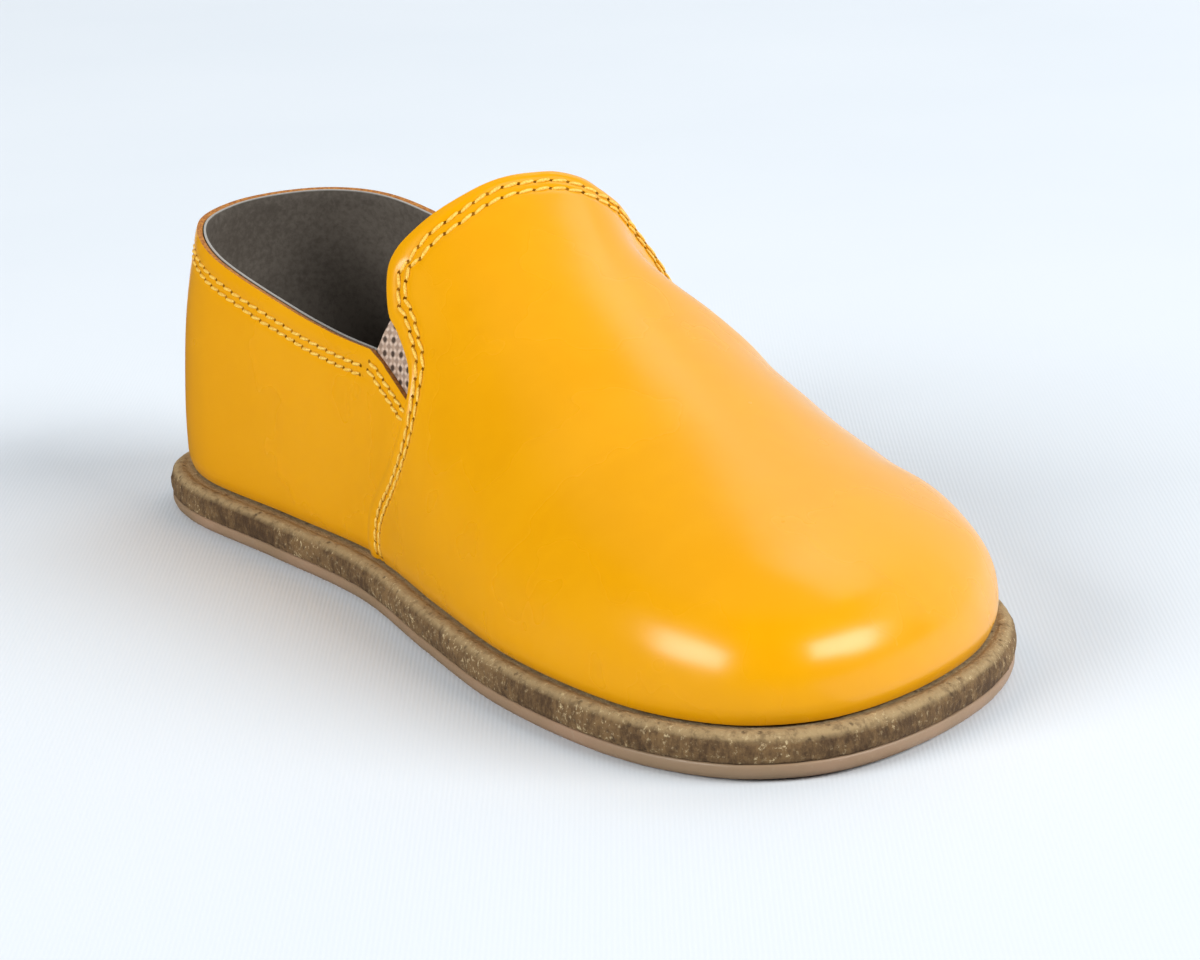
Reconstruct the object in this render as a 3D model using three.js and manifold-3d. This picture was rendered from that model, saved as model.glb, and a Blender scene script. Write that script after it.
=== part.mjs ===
// Left leather slip-on shoe for a child, standing empty on its flat sole.
// Millimetres. +X runs from heel to toe, +Y to the outer (lateral) side, +Z up.
import * as THREE from 'three';
import { mergeVertices } from 'three/addons/utils/BufferGeometryUtils.js';
import Module from 'manifold-3d';

const wasm = await Module();
wasm.setup();

// Driving dimensions of the shoe
const SHOE_LENGTH = 178;
const BALL_WIDTH = 73.8;
const INSTEP_HEIGHT = 60;
const HEEL_HEIGHT = 47;

// Sole layers and the gap that keeps neighbouring pieces apart
const OUTSOLE_THICKNESS = 2.2;
const MIDSOLE_THICKNESS = 3.8;
const INSOLE_THICKNESS = 1.8;
const PIECE_GAP = 0.3;
const TOE_SPRING = 0.4;
const SPRING_START = 0.86;

// The upper's wall: depths are measured inwards from the vamp's outer face
const LEDGE = 2.4;
const WALL_DEPTH = 2.2;
const VAMP_STEP = 0.7;
const VAMP_UNDERSIDE = 1.5;
const VAMP_RIM = 0.25;
const VAMP_RIB_SHIFT = 0.4;
const SIDE_BULGE = 1.5;
const GORE_FACE_DEPTH = 0.9;
const GORE_BACK_DEPTH = 2.0;

// Levels above the floor
const MIDSOLE_BOTTOM = OUTSOLE_THICKNESS + PIECE_GAP;
const UPPER_BASE = MIDSOLE_BOTTOM + MIDSOLE_THICKNESS + PIECE_GAP;

// Facets: edge steps for each sole row, steps up a rib of the upper, steps along a cut line
const STEPS_PER_ROW = 4;
const RIB_STEPS = 12;
const CUT_STEPS = 5;

// Half widths of the sole's edge. along is a share of the length, medial and lateral of the ball width.
const SOLE_ROWS = [
  { along: 0, medial: 0, lateral: 0 },
  { along: 0.0145, medial: -0.175, lateral: 0.157 },
  { along: 0.0615, medial: -0.32, lateral: 0.277 },
  { along: 0.151, medial: -0.373, lateral: 0.343 },
  { along: 0.295, medial: -0.333, lateral: 0.409 },
  { along: 0.442, medial: -0.299, lateral: 0.511 },
  { along: 0.59, medial: -0.33, lateral: 0.607 },
  { along: 0.725, medial: -0.351, lateral: 0.648 },
  { along: 0.843, medial: -0.324, lateral: 0.58 },
  { along: 0.922, medial: -0.265, lateral: 0.433 },
  { along: 0.978, medial: -0.161, lateral: 0.214 },
  { along: 1, medial: 0, lateral: 0 },
];

// Cross-sections of the last. Each has two ribs that stand on the sole at foot and meet at spine on the
// ridge line. ridge is a share of the ball width, height of the instep height. medial and lateral hold the
// rib's [wall, crown] handles, as shares of its rise and of its run: larger ones make a squarer shoulder.
const LAST_SECTIONS = [
  { foot: 0, spine: 0.211, ridge: 0, height: 1.3, medial: [0.62, 0.54], lateral: [0.62, 0.54] },
  { foot: 0.126, spine: 0.261, ridge: 0.024, height: 1.244, medial: [0.62, 0.55], lateral: [0.62, 0.53] },
  { foot: 0.278, spine: 0.346, ridge: 0.069, height: 1.131, medial: [0.64, 0.6], lateral: [0.62, 0.57] },
  { foot: 0.421, spine: 0.426, ridge: 0.102, height: 1.01, medial: [0.66, 0.68], lateral: [0.62, 0.68] },
  { foot: 0.527, spine: 0.527, ridge: 0.102, height: 0.819, medial: [0.62, 0.66], lateral: [0.57, 0.56] },
  { foot: 0.632, spine: 0.628, ridge: 0.092, height: 0.675, medial: [0.58, 0.61], lateral: [0.54, 0.47] },
  { foot: 0.737, spine: 0.718, ridge: 0.083, height: 0.569, medial: [0.6, 0.62], lateral: [0.56, 0.47] },
  { foot: 0.843, spine: 0.792, ridge: 0.059, height: 0.498, medial: [0.62, 0.64], lateral: [0.6, 0.52] },
  { foot: 1, spine: 0.855, ridge: 0.03, height: 0.444, medial: [0.63, 0.64], lateral: [0.63, 0.64] },
];

// Rear edge of the vamp seen from the side, from the sole up to its top. height is a share of the instep.
const VAMP_EDGE = [
  { along: 0.44, height: 0.11 },
  { along: 0.45, height: 0.233 },
  { along: 0.483, height: 0.347 },
  { along: 0.501, height: 0.431 },
  { along: 0.507, height: 0.516 },
  { along: 0.498, height: 0.593 },
  { along: 0.468, height: 0.664 },
  { along: 0.449, height: 0.7 },
  { along: 0.43, height: 0.785 },
  { along: 0.428, height: 0.835 },
  { along: 0.434, height: 0.885 },
  { along: 0.441, height: 0.945 },
  { along: 0.441, height: 0.98 },
];
const GORE_BOTTOM_ROW = 4;
const GORE_TOP_ROW = 7;

// Top edge of the quarter from the heel to the gore. height is a share of the heel height.
const COLLAR_EDGE = [
  { along: 0, height: 1 },
  { along: 0.06, height: 0.98 },
  { along: 0.17, height: 0.9 },
  { along: 0.28, height: 0.825 },
  { along: 0.37, height: 0.785 },
  { along: 0.431, height: 0.776 },
];

// Side profiles from the bottom face to the top face. rise is a share of the thickness, inset is in mm.
const OUTSOLE_PROFILE = [
  { rise: 0, inset: 0.9 },
  { rise: 0.3, inset: 0.3 },
  { rise: 0.65, inset: 0.1 },
  { rise: 1, inset: 0.3 },
];
const MIDSOLE_PROFILE = [
  { rise: 0, inset: 0.4 },
  { rise: 0.12, inset: 0.1 },
  { rise: 0.55, inset: 0 },
  { rise: 0.8, inset: 0.3 },
  { rise: 0.94, inset: 0.9 },
  { rise: 1, inset: 1.8 },
];
const INSOLE_INSET = LEDGE + WALL_DEPTH + 0.4;
const INSOLE_PROFILE = [
  { rise: 0, inset: INSOLE_INSET },
  { rise: 0.7, inset: INSOLE_INSET },
  { rise: 1, inset: INSOLE_INSET + 0.5 },
];

const COLOURS = {
  leather: { color: 0xf2ab05, roughness: 0.38, metalness: 0 },
  elastic: { color: 0xc9b29c, roughness: 0.9, metalness: 0 },
  suede: { color: 0x6f5a33, roughness: 0.95, metalness: 0 },
  gum: { color: 0xc39a80, roughness: 0.55, metalness: 0 },
  board: { color: 0x4a4440, roughness: 0.85, metalness: 0 },
};

const LAST_ROW = SOLE_ROWS.length - 1;
const EDGE_STEPS = LAST_ROW * STEPS_PER_ROW;
const OTHER_SIDE = { medial: 'lateral', lateral: 'medial' };
const TINY_STEP = 1e-3;

// Catmull-Rom value between four neighbouring values.
function blendFour(a, b, c, d, share) {
  const linear = c - a;
  const square = 2 * a - 5 * b + 4 * c - d;
  const cube = 3 * (b - c) + d - a;
  return b + 0.5 * share * (linear + share * (square + share * cube));
}

// Point of the sole's edge at a place counted in rows. Past either end it runs on along the other side.
function soleEdge(place, side) {
  if (place < 0) return soleEdge(-place, OTHER_SIDE[side]);
  if (place > LAST_ROW) return soleEdge(2 * LAST_ROW - place, OTHER_SIDE[side]);
  const row = Math.min(Math.floor(place), LAST_ROW - 1);
  const share = place - row;
  const rows = [row - 1, row, row + 1, row + 2].map((index) => {
    if (index < 0) return { along: SOLE_ROWS[1].along, width: SOLE_ROWS[1][OTHER_SIDE[side]] };
    if (index > LAST_ROW) {
      const mirrored = SOLE_ROWS[LAST_ROW - 1];
      return { along: mirrored.along, width: mirrored[OTHER_SIDE[side]] };
    }
    return { along: SOLE_ROWS[index].along, width: SOLE_ROWS[index][side] };
  });
  const along = blendFour(...rows.map((entry) => entry.along), share);
  const width = blendFour(...rows.map((entry) => entry.width), share);
  return new THREE.Vector2(along * SHOE_LENGTH, width * BALL_WIDTH);
}

// Point that lies inside the sole's edge by a level distance.
function insetEdge(place, side, inset) {
  const ahead = soleEdge(place + TINY_STEP, side);
  const tangent = ahead.sub(soleEdge(place - TINY_STEP, side)).normalize();
  const turn = side === 'medial' ? 1 : -1;
  const inward = new THREE.Vector2(-tangent.y * turn, tangent.x * turn);
  return soleEdge(place, side).addScaledVector(inward, inset);
}

// Height that the toe is lifted off the floor.
function toeLift(x) {
  const start = SPRING_START * SHOE_LENGTH;
  const share = Math.max(0, (x - start) / (SHOE_LENGTH - start));
  return TOE_SPRING * share * share;
}

// Value that read takes from the last's sections, at a place along the foot, by smooth cubic pieces.
function sectionValue(read, foot) {
  const rows = LAST_SECTIONS;
  const top = rows.length - 1;
  let index = 0;
  while (index < top - 1 && rows[index + 1].foot < foot) index += 1;
  const slopeAt = (row) => {
    const low = rows[Math.max(0, row - 1)];
    const high = rows[Math.min(top, row + 1)];
    return (read(high) - read(low)) / (high.foot - low.foot);
  };
  const span = rows[index + 1].foot - rows[index].foot;
  const share = (foot - rows[index].foot) / span;
  const rest = 1 - share;
  const start = read(rows[index]) * (1 + 2 * share) * rest * rest;
  const end = read(rows[index + 1]) * share * share * (3 - 2 * share);
  const bend = span * share * rest * (slopeAt(index) * rest - slopeAt(index + 1) * share);
  return start + end + bend;
}

// Where the two ribs of a section meet, and the rise of the ridge line there.
function ridgePoint(foot) {
  const at = (value) => ({
    x: sectionValue((row) => row.spine, value) * SHOE_LENGTH,
    y: sectionValue((row) => row.ridge, value) * BALL_WIDTH,
    z: sectionValue((row) => row.height, value) * INSTEP_HEIGHT,
  });
  const before = at(foot - TINY_STEP);
  const after = at(foot + TINY_STEP);
  const slope = (after.z - before.z) / (after.x - before.x);
  const point = at(foot);
  return { point: new THREE.Vector3(point.x, point.y, point.z), slope };
}

// Point of the last's surface: rise 0 is on the sole, rise 1 on the ridge. Each rib is one cubic curve.
function lastPoint(place, side, rise) {
  if (place < 0) return lastPoint(-place, OTHER_SIDE[side], rise);
  if (place > LAST_ROW) return lastPoint(2 * LAST_ROW - place, OTHER_SIDE[side], rise);
  const foot = THREE.MathUtils.clamp(soleEdge(place, side).x / SHOE_LENGTH, 0, 1);
  const base = insetEdge(place, side, LEDGE);
  const { point: ridge, slope } = ridgePoint(foot);
  const outward = new THREE.Vector2(base.x - ridge.x, base.y - ridge.y);
  const run = outward.length();
  outward.normalize();
  const wall = sectionValue((row) => row[side][0], foot) * (ridge.z - UPPER_BASE);
  const crown = sectionValue((row) => row[side][1], foot) * run;
  const start = new THREE.Vector3(base.x, base.y, UPPER_BASE);
  const lower = start.clone().add(new THREE.Vector3(outward.x * SIDE_BULGE, outward.y * SIDE_BULGE, wall));
  const shoulder = new THREE.Vector3(outward.x, outward.y, outward.x * slope);
  const upper = ridge.clone().addScaledVector(shoulder, crown);
  const point = new THREE.CubicBezierCurve3(start, lower, upper, ridge).getPoint(rise);
  point.z += toeLift(point.x);
  return point;
}

// Unit normal of the last's surface, pointing out. On the sole it is level, so that rims stay flat.
function lastNormal(place, side, rise) {
  if (rise === 1) {
    const { slope } = ridgePoint(THREE.MathUtils.clamp(soleEdge(place, side).x / SHOE_LENGTH, 0, 1));
    return new THREE.Vector3(-slope, 0, 1).normalize();
  }
  const along = lastPoint(place + TINY_STEP, side, rise).sub(lastPoint(place - TINY_STEP, side, rise));
  const low = Math.max(0, rise - TINY_STEP);
  const up = lastPoint(place, side, rise + TINY_STEP).sub(lastPoint(place, side, low));
  const normal = along.cross(up);
  if (side === 'lateral') normal.negate();
  if (rise === 0) normal.z = 0;
  return normal.normalize();
}

function geometryFrom(positions, triangles) {
  const geometry = new THREE.BufferGeometry();
  geometry.setAttribute('position', new THREE.Float32BufferAttribute(positions, 3));
  geometry.setIndex(triangles);
  return mergeVertices(geometry);
}

// Two triangles of a quad whose corners run anticlockwise seen from outside.
function quad(a, b, c, d) {
  return [a, b, c, a, c, d];
}

// Closed solid through rings of the sole's edge: a side profile, closed by a level face below and above.
function soleLayer(profile, bottom, thickness) {
  const positions = [];
  const triangles = [];
  const ringSize = 2 * EDGE_STEPS;
  for (const { rise, inset } of profile) {
    for (let step = 0; step < ringSize; step += 1) {
      const lateral = step > EDGE_STEPS;
      const place = (lateral ? ringSize - step : step) / STEPS_PER_ROW;
      const point = insetEdge(place, lateral ? 'lateral' : 'medial', inset);
      positions.push(point.x, point.y, bottom + rise * thickness + toeLift(point.x));
    }
  }
  for (let ring = 0; ring + 1 < profile.length; ring += 1) {
    for (let step = 0; step < ringSize; step += 1) {
      const next = (step + 1) % ringSize;
      const low = ring * ringSize;
      const high = low + ringSize;
      triangles.push(...quad(low + step, low + next, high + next, high + step));
    }
  }
  const lid = (profile.length - 1) * ringSize;
  for (let step = 0; step < EDGE_STEPS; step += 1) {
    const across = (ringSize - step) % ringSize;
    const acrossNext = ringSize - step - 1;
    const faces = step === 0 ? [0, 1, acrossNext] : quad(step, step + 1, acrossNext, across);
    const ladder = step === EDGE_STEPS - 1 ? [step, step + 1, across] : faces;
    for (let corner = 0; corner < ladder.length; corner += 3) {
      const [a, b, c] = ladder.slice(corner, corner + 3);
      triangles.push(lid + a, lid + b, lid + c);
      triangles.push(a, c, b);
    }
  }
  return geometryFrom(positions, triangles);
}

// Closed shell of the last between two depths under its surface, open along the sole. rim lifts its lower
// edge, and shift moves its ribs by a share of a step, so that two shells don't meet rib on rib.
function lastShell(faceDepth, backDepth, rim = 0, shift = 0) {
  const positions = [];
  const triangles = [];
  const archSize = 2 * RIB_STEPS + 1;
  const faceSize = (EDGE_STEPS + 1) * archSize;
  for (const depth of [faceDepth, backDepth]) {
    for (let step = 0; step <= EDGE_STEPS; step += 1) {
      const atEnd = step === 0 || step === EDGE_STEPS;
      const place = (step + (atEnd ? 0 : shift)) / STEPS_PER_ROW;
      for (let arch = 0; arch < archSize; arch += 1) {
        const side = arch <= RIB_STEPS ? 'medial' : 'lateral';
        const rise = 1 - Math.abs(arch - RIB_STEPS) / RIB_STEPS;
        const point = lastPoint(place, side, rise);
        point.addScaledVector(lastNormal(place, side, rise), -depth);
        positions.push(point.x, point.y, point.z + (rise === 0 ? rim : 0));
      }
    }
  }
  for (let step = 0; step < EDGE_STEPS; step += 1) {
    const row = step * archSize;
    const next = row + archSize;
    for (let arch = 0; arch + 1 < archSize; arch += 1) {
      const face = quad(row + arch, next + arch, next + arch + 1, row + arch + 1);
      triangles.push(...face);
      triangles.push(...face.map((corner) => corner + faceSize).reverse());
    }
    const end = archSize - 1;
    triangles.push(...quad(row, row + faceSize, next + faceSize, next));
    triangles.push(...quad(next + end, next + end + faceSize, row + end + faceSize, row + end));
  }
  return geometryFrom(positions, triangles);
}

function solidFrom(geometry) {
  const plain = geometry.clone();
  plain.deleteAttribute('normal');
  plain.deleteAttribute('uv');
  const merged = mergeVertices(plain);
  return new wasm.Manifold(new wasm.Mesh({
    numProp: 3,
    vertProperties: new Float32Array(merged.getAttribute('position').array),
    triVerts: new Uint32Array(merged.getIndex().array),
  }));
}

function geometryOf(solid) {
  const mesh = solid.getMesh();
  const geometry = new THREE.BufferGeometry();
  geometry.setAttribute('position', new THREE.BufferAttribute(mesh.vertProperties, 3));
  geometry.setIndex(new THREE.BufferAttribute(mesh.triVerts, 1));
  return geometry;
}

// Smooth line in the side view through table rows, in millimetres.
function sideLine(rows, fullHeight) {
  const points = rows.map(({ along, height }) => new THREE.Vector2(along * SHOE_LENGTH, height * fullHeight));
  return new THREE.SplineCurve(points).getPoints(CUT_STEPS * (rows.length - 1));
}

// Solid that an outline of the side view sweeps across the shoe between two y values.
function sidePrism(outline, fromY, toY) {
  const shape = new THREE.Shape(outline);
  const geometry = new THREE.ExtrudeGeometry(shape, { depth: toY - fromY, bevelEnabled: false });
  geometry.rotateX(Math.PI / 2);
  geometry.translate(0, toY, 0);
  return solidFrom(geometry);
}

// Lines of the side view that the upper is cut along
const CLEAR = BALL_WIDTH;
const vampEdge = sideLine(VAMP_EDGE, INSTEP_HEIGHT);
const collarEdge = sideLine(COLLAR_EDGE, HEEL_HEIGHT);
const vampTop = vampEdge[vampEdge.length - 1];
const vampFoot = vampEdge[0];
const goreBottom = vampEdge[GORE_BOTTOM_ROW * CUT_STEPS];
const collarFront = collarEdge[collarEdge.length - 1];
const collarBack = collarEdge[0];

// The collar opening and both gore notches: above the collar edge and behind the vamp's edge.
function openingOutline() {
  const above = vampTop.y + CLEAR;
  return [
    new THREE.Vector2(collarBack.x - CLEAR, collarBack.y),
    ...collarEdge,
    ...vampEdge.slice(GORE_BOTTOM_ROW * CUT_STEPS),
    new THREE.Vector2(vampTop.x, above),
    new THREE.Vector2(collarBack.x - CLEAR, above),
  ];
}

// Everything in front of the vamp's rear edge.
function vampOutline() {
  const above = vampTop.y + CLEAR;
  const front = SHOE_LENGTH + CLEAR;
  return [
    new THREE.Vector2(vampFoot.x, -CLEAR),
    new THREE.Vector2(front, -CLEAR),
    new THREE.Vector2(front, above),
    new THREE.Vector2(vampTop.x, above),
    ...[...vampEdge].reverse(),
  ];
}

// Centre of the circle inside a triangle.
function innerCentre(a, b, c) {
  const [atA, atB, atC] = [b.distanceTo(c), c.distanceTo(a), a.distanceTo(b)];
  const sum = a.clone().multiplyScalar(atA).addScaledVector(b, atB).addScaledVector(c, atC);
  return sum.divideScalar(atA + atB + atC);
}

// The V of one gore, drawn in from the notch by the gap between pieces.
function goreOutline() {
  const edge = vampEdge.slice(GORE_BOTTOM_ROW * CUT_STEPS, GORE_TOP_ROW * CUT_STEPS + 1);
  const goreTop = edge[edge.length - 1];
  const centre = innerCentre(collarFront, goreBottom, goreTop);
  const nearest = Math.min(...edge.map((point) => point.distanceTo(centre)));
  const shrink = 1 - PIECE_GAP / nearest;
  const drawIn = (corner) => corner.clone().sub(centre).multiplyScalar(shrink).add(centre);
  return [collarFront, ...edge].map(drawIn);
}

function upperGeometry() {
  const quarter = solidFrom(lastShell(VAMP_STEP, WALL_DEPTH));
  const vamp = solidFrom(lastShell(0, VAMP_UNDERSIDE, VAMP_RIM, VAMP_RIB_SHIFT));
  const front = sidePrism(vampOutline(), -CLEAR, CLEAR);
  const opening = sidePrism(openingOutline(), -CLEAR, CLEAR);
  return geometryOf(vamp.intersect(front).add(quarter).subtract(opening));
}

function goreGeometry(side) {
  const shell = solidFrom(lastShell(GORE_FACE_DEPTH, GORE_BACK_DEPTH));
  const reach = side === 'medial' ? [-CLEAR, 0] : [0, CLEAR];
  return geometryOf(shell.intersect(sidePrism(goreOutline(), ...reach)));
}

function piece(name, geometry, finish) {
  const mesh = new THREE.Mesh(geometry, new THREE.MeshStandardMaterial(COLOURS[finish]));
  mesh.name = name;
  return mesh;
}

// Middle of the sole's box, which becomes the origin
function soleCentre() {
  const box = new THREE.Box2();
  for (let step = 0; step <= EDGE_STEPS; step += 1) {
    box.expandByPoint(soleEdge(step / STEPS_PER_ROW, 'medial'));
    box.expandByPoint(soleEdge(step / STEPS_PER_ROW, 'lateral'));
  }
  return box.getCenter(new THREE.Vector2());
}

const shoe = new THREE.Group();
shoe.add(piece('outsole', soleLayer(OUTSOLE_PROFILE, 0, OUTSOLE_THICKNESS), 'gum'));
shoe.add(piece('midsole', soleLayer(MIDSOLE_PROFILE, MIDSOLE_BOTTOM, MIDSOLE_THICKNESS), 'suede'));
shoe.add(piece('insole', soleLayer(INSOLE_PROFILE, UPPER_BASE, INSOLE_THICKNESS), 'board'));
shoe.add(piece('upper', upperGeometry(), 'leather'));
shoe.add(piece('gore_medial', goreGeometry('medial'), 'elastic'));
shoe.add(piece('gore_lateral', goreGeometry('lateral'), 'elastic'));
const centre = soleCentre();
shoe.position.set(-centre.x, -centre.y, 0);

export default shoe;
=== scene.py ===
"""A child's left slip-on shoe in yellow leather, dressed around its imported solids.

Tables and sizes are in millimetres on the last's own axes: x from the heel's rearmost point to
the toe, y to the outer side of the foot, z up from the floor. Meshes are made in metres in the
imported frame.
"""

import logging
import math
from contextlib import contextmanager
from dataclasses import astuple, dataclass, field
from enum import Enum
from typing import Callable, Iterator, Sequence

import bpy
import numpy as np
from mathutils import Matrix, Quaternion, Vector
from mathutils.bvhtree import BVHTree

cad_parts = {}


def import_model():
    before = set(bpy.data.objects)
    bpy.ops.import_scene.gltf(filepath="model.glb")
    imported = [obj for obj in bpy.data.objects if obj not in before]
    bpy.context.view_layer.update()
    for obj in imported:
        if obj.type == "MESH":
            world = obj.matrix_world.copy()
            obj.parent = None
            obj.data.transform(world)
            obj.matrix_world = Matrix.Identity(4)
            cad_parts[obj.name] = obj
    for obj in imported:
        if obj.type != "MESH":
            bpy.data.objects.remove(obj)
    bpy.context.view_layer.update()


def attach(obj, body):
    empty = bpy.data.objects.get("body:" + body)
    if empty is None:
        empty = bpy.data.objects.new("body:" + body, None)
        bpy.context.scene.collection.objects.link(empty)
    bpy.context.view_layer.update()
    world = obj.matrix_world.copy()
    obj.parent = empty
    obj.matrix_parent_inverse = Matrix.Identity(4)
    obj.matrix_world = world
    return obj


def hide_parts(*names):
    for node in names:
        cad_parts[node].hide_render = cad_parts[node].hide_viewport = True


LOG = logging.getLogger("shoe")
MM = 0.001
STEP = 1e-3  # between two near places that give a slope, or next to the edge of a grid
ROOT = "root"
GORE_MAP = 20.0  # millimetres that one unit of a gore's map covers
MIDDLE = (0.35, 0.65)  # where most values of a noise lie
SPINE, RIDGE, HEIGHT, INNER_WALL, INNER_CROWN, OUTER_WALL, OUTER_CROWN = range(1, 8)

Array = np.ndarray
Piece = bpy.types.Object
Paint = bpy.types.Material
Span = tuple[float, float]
Place = tuple[float, float, float]
Colour = tuple[float, float, float]
Cells = tuple[int, int]
Numbers = tuple[float, ...]
Rows = tuple[tuple[float, ...], ...]
Shape = Callable[[Array, Array], Array]
Sockets = tuple[tuple[str, object], ...]


class Side(Enum):
    """Inner and outer side of the foot, as the sign of the arch coordinate."""

    MEDIAL = -1
    LATERAL = 1


class Slot(Enum):
    """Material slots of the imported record."""

    RUBBER = "gum_rubber"
    MIDSOLE = "midsole_leather"
    INSOLE = "insole_board"
    UPPER = "upper_leather"
    ELASTIC = "elastic"


def smooth(low: float, high: float, value: Array) -> Array:
    """Rises smoothly from 0 to 1 as value goes from low to high."""
    share = np.clip((value - low) / (high - low), 0.0, 1.0)
    return share * share * (3.0 - 2.0 * share)


def bump(centre: float | Array, width: float | Array, value: Array) -> Array:
    """Bell curve of height 1 around centre."""
    return np.exp(-(((value - centre) / width) ** 2))


def mix(low: float | Array, high: float | Array, share: Array) -> Array:
    """Value between low and high."""
    return low + (high - low) * share


def unit(vectors: Array) -> Array:
    """Vectors scaled to length 1."""
    return vectors / np.linalg.norm(vectors, axis=-1, keepdims=True)


def run_of(points: Array) -> Array:
    """Length of a line up to each of its points."""
    return np.concatenate([[0.0], np.cumsum(np.linalg.norm(np.diff(points, axis=0), axis=1))])


def curve_value(before: Array, start: Array, end: Array, after: Array, share: Array) -> Array:
    """Value of a smooth curve between start and end.

    Args:
        before: value before the span.
        start: value at the span's start.
        end: value at the span's end.
        after: value after the span.
        share: share of the span, from 0 to 1.

    Returns:
        The value at each share.
    """
    square = 2 * before - 5 * start + 4 * end - after
    cube = 3 * (start - end) + after - before
    return start + 0.5 * share * (end - before + share * (square + share * cube))


def through_rows(rows: Rows, steps: int = 16) -> Array:
    """Smooth curve through table rows.

    Args:
        rows: the table.
        steps: points in each span.

    Returns:
        Points of the curve.
    """
    table = np.asarray(rows, float)
    padded = np.vstack([table[:1], table, table[-1:]])
    share = np.linspace(0.0, 1.0, steps, endpoint=False)[:, None]
    spans = [curve_value(*padded[index : index + 4], share) for index in range(len(table) - 1)]
    return np.vstack([*spans, table[-1:]])


def halve(low: Array, high: Array, before: Callable[[Array], Array], rounds: int = 45) -> Array:
    """Closes spans on the values where a test stops to hold.

    Args:
        low: starts of the spans, where the test holds.
        high: ends of the spans.
        before: the test, which is true below the wanted value.
        rounds: times that the spans are halved.

    Returns:
        The values found.
    """
    for _ in range(rounds):
        middle = 0.5 * (low + high)
        held = before(middle)
        low, high = np.where(held, middle, low), np.where(held, high, middle)
    return 0.5 * (low + high)


def waves(points: Array, lengths: Sequence[float], seed: int, crossing: int = 3) -> Array:
    """Gentle irregular swell over space.

    Args:
        points: places in millimetres.
        lengths: wavelengths in millimetres, each adding one set of waves.
        seed: picks the directions and phases.
        crossing: waves in a set.

    Returns:
        One value a point, about -1 to 1.
    """
    usual_peak = 2.2
    random = np.random.default_rng(seed)
    total = np.zeros(len(points))
    for length in lengths:
        for _ in range(crossing):
            direction = unit(random.normal(size=3))
            phase = random.uniform(0.0, 2 * math.pi)
            total += np.sin(points @ direction * (2 * math.pi / length) + phase)
    return total / (usual_peak * len(lengths))


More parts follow.
